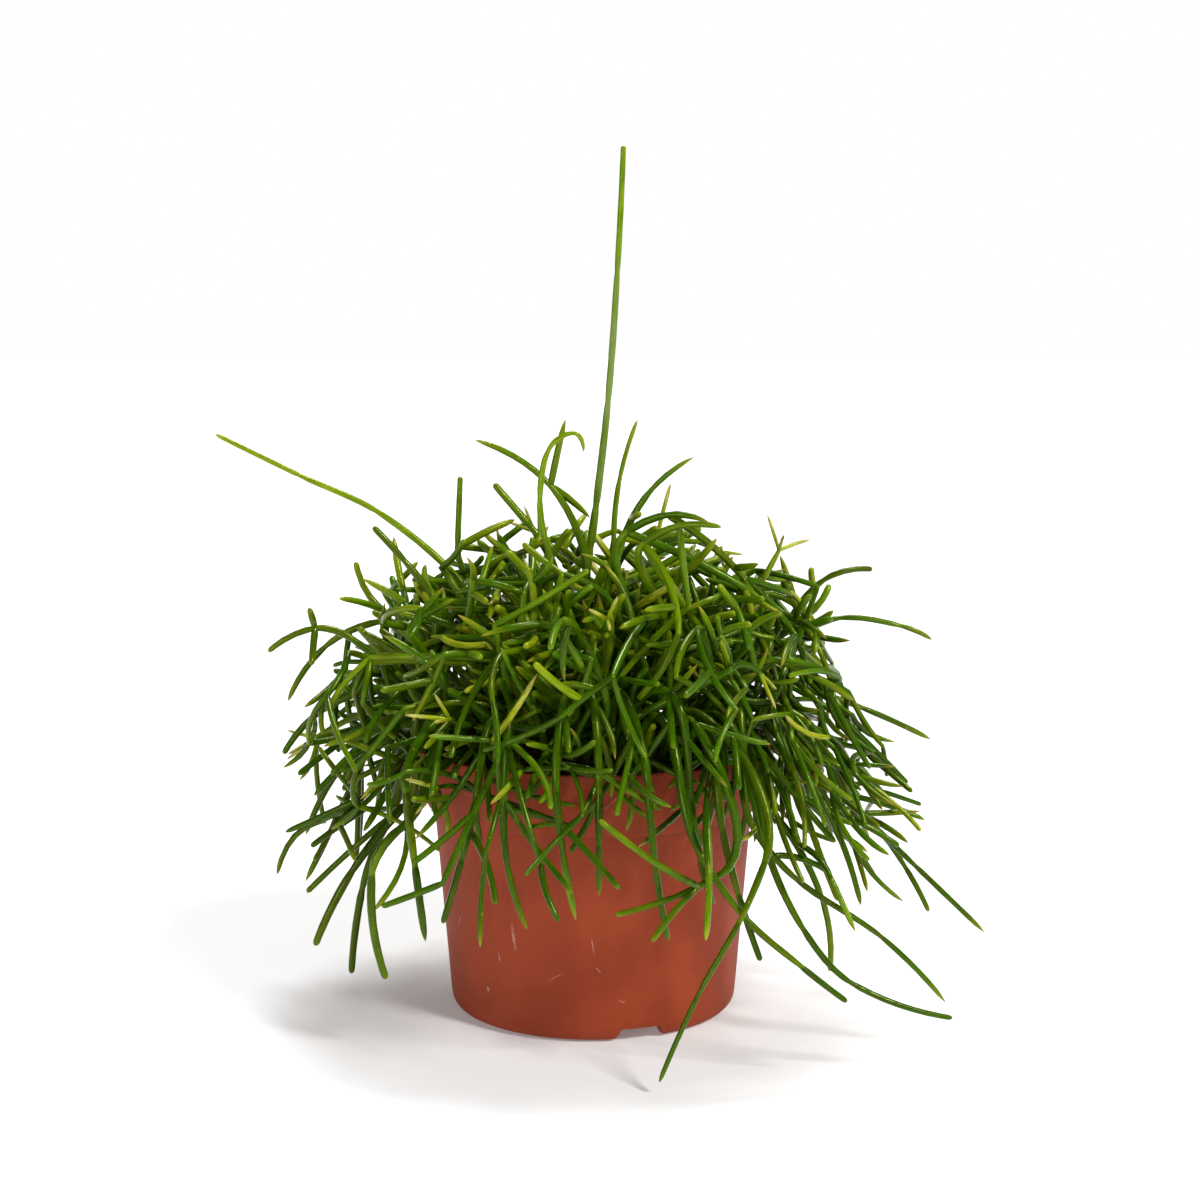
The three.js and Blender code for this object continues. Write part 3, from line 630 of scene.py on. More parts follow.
# Each is (name, half thickness at the first joint, at the tip, joints from the crown outwards).
NAMED_SHOOTS = [
    ("upright", 1.55, 0.95, [(-1, 0, 156), (1, 0, 170), (5, 0, 205), (8, 0, 247), (10, 0, 288)]),
    ("leaning", 1.3, 0.8, [(-47, 6, 146), (-73, 8, 167), (-99, 10, 179), (-128, 12, 193)]),
    ("spike", 1.2, 1, [(-47, 22, 154), (-46, 24, 178)]),
    ("slant", 1.4, 1.2, [(-21, 14, 161), (-34, 16, 176)]),
    ("trident", 1.4, 0.95, [(-2, -12, 150), (-14, -10, 177), (-39, -8, 192)]),
    ("hook", 1.2, 0.75, [(-15, -28, 160), (-17, -28, 174), (-14, -27, 190), (-6, -26, 195), (-3, -25, 189)]),
    ("reed", 1.15, 0.7, [(7, 10, 158), (9, 11, 178), (15, 12, 198)]),
    ("sickle", 1.35, 0.75, [(10, -14, 160), (19, -16, 176), (33, -18, 187)]),
    ("crest_a", 1.35, 1.1, [(11, -26, 163), (24, -30, 169), (37, -34, 167)]),
    ("crest_b", 1.35, 1, [(16, -44, 161), (27, -48, 167), (40, -52, 167)]),
    ("pale", 1.1, 0.7, [(20, 28, 142), (22, 30, 155), (27, 32, 175)]),
    ("young", 1.3, 0.9, [(51, -4, 136), (56, -4, 144), (62, -4, 155)]),
    ("east_a", 1.2, 0.85, [(71, 12, 124), (85, 14, 130), (106, 16, 127), (117, 17, 122)]),
    ("east_b", 1.3, 1.05, [(69, 32, 126), (82, 36, 141), (99, 40, 144)]),
    ("east_c", 1.2, 0.95, [(74, 20, 104), (94, 24, 97), (119, 28, 85)]),
    ("fall_a", 1.15, 0.85, [(72, -22, 84), (88, -24, 70), (106, -26, 53), (129, -28, 31)]),
    ("fall_b", 1.15, 0.9, [(77, 0, 70), (96, -2, 60), (106, -4, 47), (114, -6, 32)]),
    ("fall_c", 1.15, 0.85, [(50, -62, 74), (64, -60, 57), (91, -58, 38), (112, -56, 16)]),
    ("fall_d", 1.2, 0.85, [(53, -76, 71), (64, -80, 47), (79, -80, 30), (110, -80, 19)]),
    ("fall_e", 1.15, 0.9, [(32, -82, 72), (46, -86, 52), (63, -86, 37), (77, -86, 26)]),
    ("lowest", 1.15, 0.75, [(52, -84, 69), (44, -90, 52), (32, -93, 31), (20, -95, 4)]),
    ("apron_a", 1.25, 1, [(40, -68, 75), (45, -69, 55), (52, -70, 34)]),
    ("apron_b", 1.2, 0.95, [(59, -50, 74), (73, -50, 48), (76, -48, 24)]),
    ("stray", 1.1, 0.9, [(39, -80, 64), (25, -84, 58), (7, -86, 53)]),
    ("sweep_a", 1.5, 1.3, [(-61, -34, 75), (-78, -38, 54), (-90, -40, 30)]),
    ("sweep_b", 1.45, 1.3, [(-60, -58, 73), (-69, -60, 59), (-65, -60, 25)]),
    ("sweep_c", 1.4, 1.25, [(-71, -18, 60), (-77, -18, 43), (-81, -18, 14)]),
    ("sweep_d", 1.4, 1.2, [(-58, -62, 86), (-55, -66, 63), (-52, -66, 39)]),
    ("sweep_e", 1.3, 1.1, [(-80, 4, 79), (-90, 4, 58), (-99, 4, 40)]),
    ("west_a", 1.4, 1.05, [(-73, -14, 110), (-91, -14, 102), (-103, -14, 88)]),
    ("west_b", 1.4, 1, [(-81, 2, 124), (-94, 2, 128), (-110, 2, 120)]),
    ("west_c", 1.4, 1.1, [(-61, 24, 135), (-73, 26, 131), (-83, 28, 148)]),
    ("west_d", 1.35, 1.1, [(-54, -16, 143), (-62, -16, 153), (-72, -16, 164)]),
    ("west_e", 1.35, 1.05, [(-76, 34, 126), (-95, 36, 117), (-109, 38, 97)]),
    ("front_a", 1.25, 1, [(-36, -68, 84), (-40, -72, 67), (-46, -74, 47)]),
    ("front_b", 1.25, 1, [(-27, -72, 85), (-26, -74, 65), (-20, -74, 45)]),
    ("front_c", 1.3, 1.05, [(-11, -76, 89), (-9, -78, 70), (-5, -78, 49)]),
    ("front_d", 1.25, 1.05, [(2, -74, 88), (2, -76, 72), (2, -76, 56)]),
    ("front_e", 1.25, 1, [(17, -76, 89), (19, -78, 67), (23, -78, 43)]),
    ("front_f", 1.25, 1.05, [(30, -72, 85), (33, -74, 67), (37, -74, 53)]),
    ("fore", 1.3, 1.05, [(-4, -68, 136), (-9, -85, 142), (-12, -102, 136)]),
    ("rear", 1.3, 1.05, [(-18, 68, 122), (-26, 86, 118), (-30, 102, 104)]),
]
# Each is (name, joint it grows from, half thickness, tip).
SIDE_SHOOTS = [
    ("trident", 1, 1.2, (-9, -10, 199)),
    ("trident", 1, 1.2, (-1, -4, 166)),
    ("young", 2, 0.6, (58, -4, 167)),
    ("young", 2, 0.6, (63, -12, 161)),
    ("young", 2, 0.7, (73, 2, 158)),
    ("west_b", 1, 1.2, (-96, 2, 135)),
    ("west_b", 1, 1.2, (-94, -8, 117)),
    ("west_c", 1, 1.2, (-87, 12, 137)),
]


class Shoot:
    """One fleshy segment of the cactus: an arc from one joint to the next.

    It leaves the first joint along one vector and arrives along another. Its foot sits at a share
    of its parent's length, 1 being the far joint. A bare shoot puts out no whorls.
    """

    def __init__(self, start, end, leave, arrive, thick, steps,
                 stem="", parent=-1, at=1, rank=0, bare=False):
        self.start = start
        self.end = end
        self.leave = leave
        self.arrive = arrive
        self.thick = thick
        self.steps = steps
        self.stem = stem
        self.parent = parent
        self.at = at
        self.rank = rank
        self.bare = bare
        self.kids = 0
        self.heading = unit(leave)

    def point(self, t):
        s = 1 - t
        ends = self.start * (s * s * (1 + 2 * t)) + self.leave * (t * s * s)
        return ends + self.end * (t * t * (3 - 2 * t)) - self.arrive * (t * t * s)

    def slope(self, t):
        ends = (self.end - self.start) * (6 * t * (1 - t)) + self.leave * ((1 - t) * (1 - 3 * t))
        return ends - self.arrive * (t * (2 - 3 * t))

    def route(self):
        return [self.point(i / self.steps) for i in range(self.steps + 1)]


class Plant:
    """All shoots so far, and the straight stretches that later ones keep clear of."""

    def __init__(self):
        self.shoots = []
        self.kin = []
        self.roots = []
        overshoot = 9
        most = FINE_COUNT + STUB_COUNT + FRINGE_COUNT + 3 * len(NEW_WHORLS) + overshoot
        self.tips = np.zeros((most, 3))
        self.near = np.zeros((3 * most, 3))
        self.far = np.zeros((3 * most, 3))
        self.girth = np.zeros(3 * most)
        self.owner = np.full(3 * most, -1)
        self.stretches = 0
        self.seed_state = SEED

    def draw(self, low, high):
        """A chance number between low and high. The row of numbers is the same in every run."""
        self.seed_state = self.seed_state * DICE_FACTOR % DICE_LIMIT
        return low + (high - low) * self.seed_state / DICE_LIMIT

    def add(self, shoot):
        shoot.index = len(self.shoots)
        self.tips[shoot.index] = shoot.end
        self.shoots.append(shoot)
        self.kin.append([])
        if shoot.parent >= 0:
            self.kin[shoot.parent].append(shoot)
        route = shoot.route()
        for a, b in zip(route, route[1:]):
            self.near[self.stretches] = a
            self.far[self.stretches] = b
            self.girth[self.stretches] = shoot.thick
            self.owner[self.stretches] = shoot.index
            self.stretches += 1
        return shoot

    def is_clear(self, shoot, skip, gap):
        """Whether a shoot keeps this gap from all others but those to skip."""
        route = shoot.route()
        margin = shoot.thick + gap + MOST_THICKNESS
        low, high = np.min(route, 0) - margin, np.max(route, 0) + margin
        p, q = self.near[:self.stretches], self.far[:self.stretches]
        close = ((np.minimum(p, q) < high) & (np.maximum(p, q) > low)).all(1)
        close &= ~np.isin(self.owner[:self.stretches], skip)
        p, q = p[close], q[close]
        room = self.girth[:self.stretches][close] + shoot.thick + gap
        return all((stretch_gaps(a, b, p, q) >= room).all() for a, b in zip(route, route[1:]))

    def openness(self, p):
        """How far a place is from the nearest tip or joint."""
        apart = self.tips[:len(self.shoots)] - p
        return math.sqrt((apart * apart).sum(1).min())


def stretch_gaps(a, b, p, q):
    """The least distances between the stretch a-b and each stretch p-q."""
    d1, d2, r = b - a, q - p, a - p
    aa, bb = d1 @ d1, (d2 * d2).sum(1)
    f, c, ab = (d2 * r).sum(1), r @ d1, d2 @ d1
    spread = aa * bb - ab * ab
    askew = spread > 1e-9
    s = np.where(askew, np.clip((ab * f - c * bb) / np.where(askew, spread, 1), 0, 1), 0)
    free = (ab * s + f) / bb
    t = np.clip(free, 0, 1)
    s = np.where(t != free, np.clip((t * ab - c) / aa, 0, 1), s)
    apart = r + s[:, None] * d1 - t[:, None] * d2
    return np.sqrt((apart * apart).sum(1))


def clamp(x, low, high):
    return min(max(x, low), high)


def misses_pot(p, thick):
    """Keeps a shoot out of the soil, the pot's wall and rim, and off the ground."""
    r = math.hypot(p[0], p[1])
    if p[2] < LEAST_HEIGHT:
        return False
    if r < OVER_SOIL_RADIUS:
        return p[2] > SOIL_Z + COLLAR_RISE
    return r > RIM_RADIUS + thick + 1 or p[2] > POT_HEIGHT + thick + 0.8


def tendency(p):
    """The way a shoot tends: up in the middle, outwards, and down past the pot's rim."""
    r = max(math.hypot(p[0], p[1]), 1e-6)
    rise = 76 - 1.3 * r
    rise -= 45 * clamp((95 - p[2]) / 35, 0, 1)
    rise -= 60 * clamp((p[2] - 135) / 35, 0, 1)
    turn = math.radians(max(rise, -82))
    return place(p[0] * math.cos(turn) / r, p[1] * math.cos(turn) / r, math.sin(turn))


def inside_crown(p, share):
    """Whether a tip lies within a share of the crown's reach: a flat-topped dome with a hem."""
    r = math.hypot(p[0] - CROWN_CENTRE_X, p[1] * CROWN_DEPTH)
    up = (p[2] - WAIST_Z) / (CROWN_TOP_Z - WAIST_Z) / share
    if up < 0:
        return p[2] > SKIRT_Z + 90 * (1 - min(share, 1)) and r < CROWN_REACH * share
    return up < 1 and r < share * (CROWN_REACH - CROWN_TAPER * (p[2] - WAIST_Z)) * math.sqrt(1 - up ** 8)


def slackness(p):
    """How much a shoot hangs: 0 in the crown's middle and 1 where it trails past the rim."""
    return clamp((math.hypot(p[0], p[1]) - 45) / 35, 0, 1) * clamp((130 - p[2]) / 50, 0, 1)


def room_wanted(p):
    """How far apart the tips keep: close in the crown and wide at the hem, most of all at the pot."""
    beside_pot = clamp((92 - math.hypot(p[0], p[1])) / 20, 0, 1)
    return CORE_SPACING + HEM_SPACING * (1 + beside_pot) * clamp((HEM_TOP_Z - p[2]) / 40, 0, 1)


def lay_named(plant, stem, root_thick, tip_thick, joints):
    """The shoots of one row of joints, each an arc that passes smoothly into the next."""
    joints = [place(*joint) for joint in joints]
    last = len(joints) - 1
    first, end = unit(joints[1] - joints[0]), unit(joints[last] - joints[last - 1])
    ways = [first] + [unit(joints[i + 1] - joints[i - 1]) for i in range(1, last)] + [end]
    if last > 1:
        ways[0] = unit(2 * first - ways[1])
        ways[last] = unit(2 * end - ways[last - 1])
    laid = []
    for i in range(last):
        length = size(joints[i + 1] - joints[i])
        thick = root_thick + (tip_thick - root_thick) * (i + 0.5) / last
        steps = 2 if length < 34 else 3
        parent = laid[i - 1].index if i else -1
        is_bare = i >= last - 1 or last > 3
        shoot = Shoot(joints[i], joints[i + 1], length * ways[i], length * ways[i + 1], thick, steps,
                      stem, parent, rank=ROW_RANK, bare=is_bare)
        laid.append(plant.add(shoot))
    return laid


def lay_side(plant, parent, thick, tip):
    """One shoot to a given tip, arched a little, at the far joint of its parent."""
    reach = place(*tip) - parent.end
    way, length, up = unit(reach), size(reach), place(0, 0, 0.15)
    plant.add(Shoot(parent.end, place(*tip), length * unit(way + up), length * unit(way - up), thick, 2,
                    parent.stem, parent.index, rank=SIDE_RANK, bare=True))


def root_stem(plant, stem, joint, way, thick, skip):
    """Brings a stem up out of the peat and over to the shoot's first joint."""
    draw = plant.draw
    reach = max(math.hypot(joint[0], joint[1]), 1e-6)
    inward = min(0.6, 38 / reach)
    for go in range(3000):
        spread, sway = 8 + 0.015 * go, 7 + 0.006 * go
        x = joint[0] * inward + draw(-spread, spread)
        y = joint[1] * inward + draw(-spread, spread)
        part, rise = draw(0.3, 0.7), draw(0.35, 0.85)
        sway_x, sway_y = draw(-sway, sway), draw(-sway, sway)
        lean_x, lean_y = draw(-0.2, 0.2), draw(-0.2, 0.2)
        if math.hypot(x, y) > ROOT_FIELD:
            continue
        if any(math.hypot(x - rx, y - ry) < ROOT_SPACING for rx, ry in plant.roots):
            continue
        bottom, collar = place(x, y, SOIL_Z - ROOT_DEPTH), place(x, y, SOIL_Z + COLLAR_RISE)
        arches = reach > 58 and joint[2] < 110
        crest = max(joint[2] + 4, 98 + 24 * rise) if arches else collar[2] + (joint[2] - collar[2]) * rise
        knee = place(x + (joint[0] - x) * part + sway_x, y + (joint[1] - y) * part + sway_y, crest)
        lower, upper = size(knee - collar), size(joint - knee)
        if lower + upper > 150 or lower < 12 or upper < 12:
            continue
        lean = unit(place(x * 0.014 + lean_x, y * 0.014 + lean_y, 1))
        flow = unit(unit(knee - collar) + unit(joint - knee))
        straight = place(0, 0, ROOT_DEPTH + COLLAR_RISE)
        stub = Shoot(bottom, collar, straight, straight, thick, 1, stem, bare=True)
        low = Shoot(collar, knee, lower * lean, lower * flow, thick, 3 if lower > 40 else 2, stem)
        high = Shoot(knee, joint, upper * flow, upper * way, thick, 3 if upper > 40 else 2, stem)
        marks = [arc.point(i / 8) for arc in (low, high) for i in range(1, 9)]
        if not all(misses_pot(p, thick) for p in marks + low.route()[1:] + high.route()[1:]):
            continue
        if not all(plant.is_clear(arc, [], STEM_GAP) for arc in (stub, low)):
            continue
        if not plant.is_clear(high, skip, STEM_GAP):
            continue
        plant.roots.append((x, y))
        low.parent = plant.add(stub).index
        high.parent = plant.add(low).index
        return plant.add(high)
    return None


def inside_fine_crown(p, share):
    """The same dome, but ragged, and leaning a little to the right at its hem and its top."""
    ragged = share + 0.7 * max(share - 0.95, 0)
    lean = clamp(0.3 * (97 - p[2]), 0, 9) + clamp(0.3 * (p[2] - 112), 0, 4)
    return p[2] > FINE_HEM_Z and inside_crown(p - place(lean, 0, -4), ragged)


def beside_rim(p, share):
    """The ring of air just inside and outside the pot's rim."""
    return 44 < math.hypot(p[0], p[1]) < 48 + 28 * share and 64 < p[2] < 108


def on_top(p, share):
    """The upper skin of the crown."""
    return p[2] > 116 and inside_fine_crown(p, share + 0.08) and not inside_fine_crown(p, 0.84)


def whorl(plant, parent, at, count, length, thick, gap, wildness, fits, spacing=1):
    """The shoots that one joint puts out together, those that find room."""
    draw = plant.draw
    foot, way = parent.point(at), unit(parent.slope(at))
    side = beside(way)
    over = across(side, way)
    start = draw(0, 2 * math.pi)
    kin = plant.kin[parent.index]
    skip = [parent.index] + [shoot.index for shoot in kin if shoot.at == at]
    pull, slack = tendency(foot), slackness(foot)
    found = []
    for i in range(count):
        turn = start + (i + draw(-0.2, 0.2)) * 2 * math.pi / count
        bend = math.radians(draw(22, 62 + 38 * wildness)) * (1 - 0.3 * slack)
        reach = length * draw(0.6, 1.3 + 0.25 * wildness) * (1 + 0.25 * slack)
        sway = 0.6 + 0.25 * wildness
        stray = place(draw(-sway, sway), draw(-sway, sway), draw(-0.6, 0.3 + 0.5 * wildness))
        share = draw(LEAST_SHARE, MOST_SHARE)
        aside = math.cos(turn) * side + math.sin(turn) * over
        aims = math.cos(bend) * way + math.sin(bend) * aside
        leave = unit(aims + (0.12 - 0.12 * wildness + 0.3 * slack) * pull)
        arrive = unit(leave + (0.3 - 0.25 * wildness + 0.4 * slack) * pull + stray)
        tip = foot + reach / 2 * leave + reach / 2 * arrive
        if any(leave @ other.heading > 0.93 for other in kin + found):
            continue
        room = spacing * room_wanted(tip) + 6 * wildness * clamp((tip[2] - 128) / 20, 0, 1)
        if not fits(tip, share) or plant.openness(tip) < room:
            continue
        slim = thick * (1 - SLIMMING * slackness(tip))
        shoot = Shoot(foot, tip, reach * leave, reach * arrive, slim, 2, parent.stem, parent.index, at,
                      parent.rank + 1)
        if all(misses_pot(p, slim) for p in shoot.route()[1:]) and plant.is_clear(shoot, skip, gap):
            found.append(shoot)
    return found


def fill_crown(plant, total, length, thickness, gap, wildness=0, deepest=4, most=3, fewest=2, least=3):
    """Adds whorls where the crown is emptiest, until it has this many shoots."""
    draw = plant.draw
    misses = 0
    while len(plant.shoots) < total and misses < MOST_MISSES:
        best, score, chosen = [], least, None
        for _ in range(8):
            parent = plant.shoots[int(draw(0, len(plant.shoots)))]
            at = 1 if parent.rank > 1 or draw(0, 1) < 0.6 else 0.5
            if parent.bare or parent.rank > deepest or parent.kids > most:
                continue
            count = int(draw(fewest, 4))
            thick = max(thickness * (1 - 0.05 * parent.rank), LEAST_THICKNESS)
            reach = length * (1 - 0.07 * parent.rank)
            fits = inside_fine_crown if wildness else inside_crown
            found = whorl(plant, parent, at, count, reach, thick, gap, wildness, fits)
            worth = sum(min(plant.openness(shoot.end), 14) for shoot in found)
            if worth > score:
                best, score, chosen = found, worth, parent
        misses = 0 if chosen else misses + 1
        for shoot in best:
            plant.add(shoot)
        if chosen:
            chosen.kids += len(best)


def fill_skin(plant, more, length, zone):
    """Short shoots along the sides of those that lie in a zone of the crown's skin."""
    draw = plant.draw
    nearby = [shoot for shoot in plant.shoots if not shoot.bare and zone(shoot.point(0.5), 1.2)]
    most = len(plant.shoots) + more
    for _ in range(SKIN_TRIES):
        parent = nearby[int(draw(0, len(nearby)))]
        at = draw(0.2, 0.9)
        found = whorl(plant, parent, at, 1, length, FINE_THICKNESS, FINE_GAP,
                      wildness=0.5, fits=zone, spacing=0.5)
        for shoot in found:
            plant.add(shoot)
        if len(plant.shoots) >= most:
            break


def add_new_whorl(plant, spot):
    """Three thin pale shoots on the free tip nearest to a spot: this season's growth."""
    draw = plant.draw
    free = [shoot for shoot in plant.shoots if not plant.kin[shoot.index] and not shoot.bare]
    parent = min(free, key=lambda shoot: size(shoot.end - spot))
    way = unit(parent.arrive)
    side = beside(way)
    over = across(side, way)
    start = draw(0, 2 * math.pi)
    for i in range(3):
        turn = start + i * 2 * math.pi / 3
        leave = unit(way + 0.6 * math.cos(turn) * side + 0.6 * math.sin(turn) * over)
        reach = draw(9, 15)
        shoot = Shoot(parent.end, parent.end + reach * leave, reach * leave, reach * leave,
                      NEW_THICKNESS, 2, parent.stem, parent.index, rank=NEW_RANK)
        skip = [parent.index] + [other.index for other in plant.kin[parent.index]]
        if plant.is_clear(shoot, skip, FINE_GAP / 2):
            plant.add(shoot)


def grow_free(plant, stem):
    """A stem of its own, led to the emptiest of many places in the crown."""
    draw = plant.draw
    best, most = None, -1
    for _ in range(40):
        angle, far = draw(0, 2 * math.pi), math.sqrt(draw(0.02, 1))
        out = 20 + 62 * far
        up = draw(112, 150) - 46 * far * far * draw(0.3, 1)
        joint = round_axis(out, angle, up)
        way = unit(tendency(joint) + place(draw(-0.4, 0.4), draw(-0.4, 0.4), draw(-0.2, 0.3)))
        free = plant.openness(joint)
        probe = Shoot(joint - 6 * way, joint, 6 * way, 6 * way, STEM_THICKNESS, 2)
        if free > most and plant.is_clear(probe, [], SHOOT_GAP):
            best, most = (joint, way), free
    return best and root_stem(plant, stem, best[0], best[1], STEM_THICKNESS, [])


def grow_plant():
    plant = Plant()
    rows = []
    for name, root_thick, tip_thick, joints in NAMED_SHOOTS:
        laid = lay_named(plant, name, root_thick, tip_thick, joints)
        for owner, joint, thick, tip in SIDE_SHOOTS:
            if owner == name:
                lay_side(plant, laid[joint - 1], thick, tip)
        rows.append(laid)
    for laid in sorted(rows, key=lambda row: -math.hypot(row[0].start[0], row[0].start[1])):
        first = laid[0]
        thick = first.thick + 0.2
        stem = root_stem(plant, first.stem, first.start, unit(first.leave), thick, [first.index])
        first.parent = stem.index
        plant.kin[stem.index].append(first)
    made = 0
    while made < FREE_STEMS:
        if grow_free(plant, f"free_{made + 1:02d}"):
            made += 1
    fill_crown(plant, SHOOT_COUNT, SHOOT_LENGTH, SHOOT_THICKNESS, SHOOT_GAP)
    fill_crown(plant, FINE_COUNT, FINE_LENGTH, FINE_THICKNESS, FINE_GAP,
               wildness=1, deepest=6, most=5, fewest=1, least=2)
    fill_skin(plant, STUB_COUNT, STUB_LENGTH, on_top)
    fill_skin(plant, FRINGE_COUNT, FRINGE_LENGTH, beside_rim)
    for spot in NEW_WHORLS:
        add_new_whorl(plant, place(*spot))
    return plant


# ------------------------------------------------------------------------- stems and shoots
# The shoots are waxy, juicy cylinders, 2 to 3 mm thick, drawn in at each joint and blunt or
# pointed at the tip. Old ones are deep green, and the newest are thin and yellow-green.
SIDES = 10
RING_SPACING = 4.5
JOINT_RINGS = (0.8, 1.8, 3.2)
TIP_RINGS = (0, 0.35, 0.62, 0.82, 0.94)
JOINT_NECK = 0.8
ROOT_NECK = 0.55
NECK_LENGTH = 1.8
YOUNG_STEMS = ("upright", "leaning", "young", "pale")
# Each shoot's skin starts at its own place along the grain, so that no two look alike.
SKIN_OFFSET = 61.7
MARKS = ("skin", "youth", "tone", "tip", "wood")
# For each named stem: how young it is at its foot and at its tip, its tone, and how pointed it is.
TINTS = {
    "upright": (0.44, 0.70, 0.5, 0.0),
    "leaning": (0.58, 0.74, 0.5, 0.3),
    "spike": (0.36, 0.36, 0.7, 0.0),
    "slant": (0.34, 0.36, 0.7, 0.0),
    "trident": (0.32, 0.38, 0.7, 0.8),
    "hook": (0.60, 0.78, 0.2, 0.5),
    "reed": (0.58, 0.82, 0.3, 0.6),
    "sickle": (0.34, 0.70, 0.3, 1.0),
    "crest_a": (0.28, 0.40, 0.3, 0.9),
    "crest_b": (0.28, 0.42, 0.7, 0.4),
    "pale": (0.80, 0.98, 0.3, 0.6),
    "young": (0.60, 0.86, 0.3, 0.8),
    "west_b": (0.24, 0.22, 0.9, 0.1),
    "west_d": (0.16, 0.22, 0.9, 0.0),
    "east_b": (0.12, 0.18, 0.8, 0.0),
}
NEW_TRAITS = (0.66, 0.88, 0.3, 0.7)
DEEP_GREEN = (0.014, 0.047, 0.0002, 1)
LEAF_GREEN = (0.044, 0.126, 0.0004, 1)
FRESH_GREEN = (0.130, 0.250, 0.002, 1)
YELLOW_GREEN = (0.37, 0.41, 0.010, 1)
CREAM = (0.66, 0.60, 0.17, 1)
OCHRE = (0.32, 0.21, 0.035, 1)
TIP_BROWN = (0.16, 0.075, 0.020, 1)
OLIVE_DARK = (0.043, 0.047, 0.0004, 1)
OLIVE_PALE = (0.165, 0.175, 0.002, 1)
BARK_BROWN = (0.075, 0.055, 0.020, 1)
GREY_GREEN = (0.175, 0.250, 0.072, 1)
SHEEN_TINT = (0.9, 1, 0.3, 1)
# A shoot's colour, from the oldest at 0 to the newest at 1; painted shade moves it down the ramp and painted
# light up it.
RIPENING = [(0.0, DEEP_GREEN), (0.30, LEAF_GREEN), (0.52, FRESH_GREEN), (0.78, YELLOW_GREEN), (1.0, CREAM)]


def shoot_finish(name, weathered):
    """Waxy skin that reads the marks on each shoot; weathered is the colour of its old wood."""
    finish = Finish(name)
    skin = finish.mark("skin", "Vector")
    youth, tone, tip, wood = [finish.mark(mark) for mark in ("youth", "tone", "tip", "wood")]
    clouds = finish.grain(finish.stretched(skin, (0.5, 0.5, 0.12)), 1, 3)
    streaks = finish.grain(finish.stretched(skin, (2.2, 2.2, 0.16)), 1, 3)
    grit = finish.grain(skin, 2.6, 3)
    mottle = finish.grain(finish.stretched(skin, (0.9, 0.9, 0.3)), 1, 4, 0.65)
    # The youth mark is partly real age and partly painted light and shade.
    ripeness_and_shade = youth + (clouds - 0.5) * 0.40 + (tone - 0.5) * 0.20 + tip * 0.24
    colour = finish.add("ValToRGB", {"stops": RIPENING}, {"Fac": ripeness_and_shade}, "Color")
    colour = finish.mixed(colour, DEEP_GREEN, (1 - streaks.between(0.32, 0.6)) * 0.45)
    colour = finish.mixed(colour, YELLOW_GREEN, grit.between(0.54, 0.72) * (1 - wood) * 0.16)
    olive = finish.mixed(OLIVE_DARK, OLIVE_PALE, ripeness_and_shade.between(0.1, 0.55))
    colour = finish.mixed(colour, olive, (mottle + tone * 0.3 + tip * 0.2).between(0.58, 0.88) * 0.62)
    colour = finish.mixed(colour, weathered, wood * clouds.between(0.25, 0.55) * 0.85)
    colour = finish.mixed(colour, TIP_BROWN, wood * streaks.between(0.55, 0.7) * 0.5)
    sockets = {"Vector": finish.stretched(skin, (0.16, 0.16, 0.16)), "Scale": 1.0}
    areole = 1 - finish.add("TexVoronoi", {}, sockets, "Distance").between(0.05, 0.09)
    colour = finish.mixed(colour, OCHRE, areole * 0.7)
    colour = finish.mixed(colour, OCHRE, tip.between(0.55, 0.95) * 0.7)
    colour = finish.mixed(colour, TIP_BROWN, tip.between(0.9, 0.99) * tone.between(0.4, 0.7) * 0.8)
    roughness = 0.08 + mottle * 0.12 + areole * 0.2 + wood * 0.2
    height = streaks * 0.6 + grit * 0.4 + areole * 0.5
    bump = finish.add("Bump", {}, {"Strength": 0.6, "Distance": 0.2 * MM, "Height": height})
    sockets = {"Base Color": colour, "Roughness": roughness, "Normal": bump, "IOR": 1.37}
    sockets["Specular Tint"] = SHEEN_TINT
    return finish.surface(sockets)


def next_of(plant, shoot):
    """The shoot that carries straight on from this one, if there is one."""
    kin = [other for other in plant.kin[shoot.index] if other.at == 1]
    way = unit(shoot.arrive)
    return max(kin, key=lambda other: way @ other.heading, default=None)


def ring_marks(shoot, length, thick, point, joined):
    """Where the rings of a shoot lie, as distances from its start, and how wide each is."""
    tip_length = thick * (1.0 + 6 * point)
    end = length if joined else length - tip_length
    marks = []
    middle = list(np.arange(7, length - 4, RING_SPACING))
    for at in [0, *JOINT_RINGS, *middle, *(length - ring for ring in reversed(JOINT_RINGS))]:
        if at > end - 0.3 or marks and at < marks[-1][0] + 0.5:
            continue
        wide = 1 - (1 - JOINT_NECK) * math.exp(-(at / NECK_LENGTH) ** 2)
        if at == 0:
            wide = ROOT_NECK if shoot.parent >= 0 else JOINT_NECK
        if joined:
            wide -= (1 - JOINT_NECK) * math.exp(-((length - at) / NECK_LENGTH) ** 2)
        wide *= 1.03 + 0.025 * math.sin(0.9 * at + 7 * shoot.index) - 0.14 * (at / length) ** 2
        marks.append((at, wide))
    if joined:
        marks.append((length, JOINT_NECK * 0.95))
    else:
        for along in TIP_RINGS:
            marks.append((end + along * tip_length, 0.9 * (1 - along ** 2) ** (0.5 + 0.45 * point)))
    return marks


def woodiness(shoot, p):
    """How weathered a shoot is at a place: brown where it leaves the peat, grey up the tall one."""
    if shoot.stem == "upright" and shoot.rank == ROW_RANK:
        return 0.8 * clamp((p[2] - 168) / 22, 0, 1) * clamp((258 - p[2]) / 28, 0, 1)
    if shoot.rank or math.hypot(p[0], p[1]) > RIM_RADIUS - 4:
        return 0
    return clamp((97 - p[2]) / 9, 0, 1)


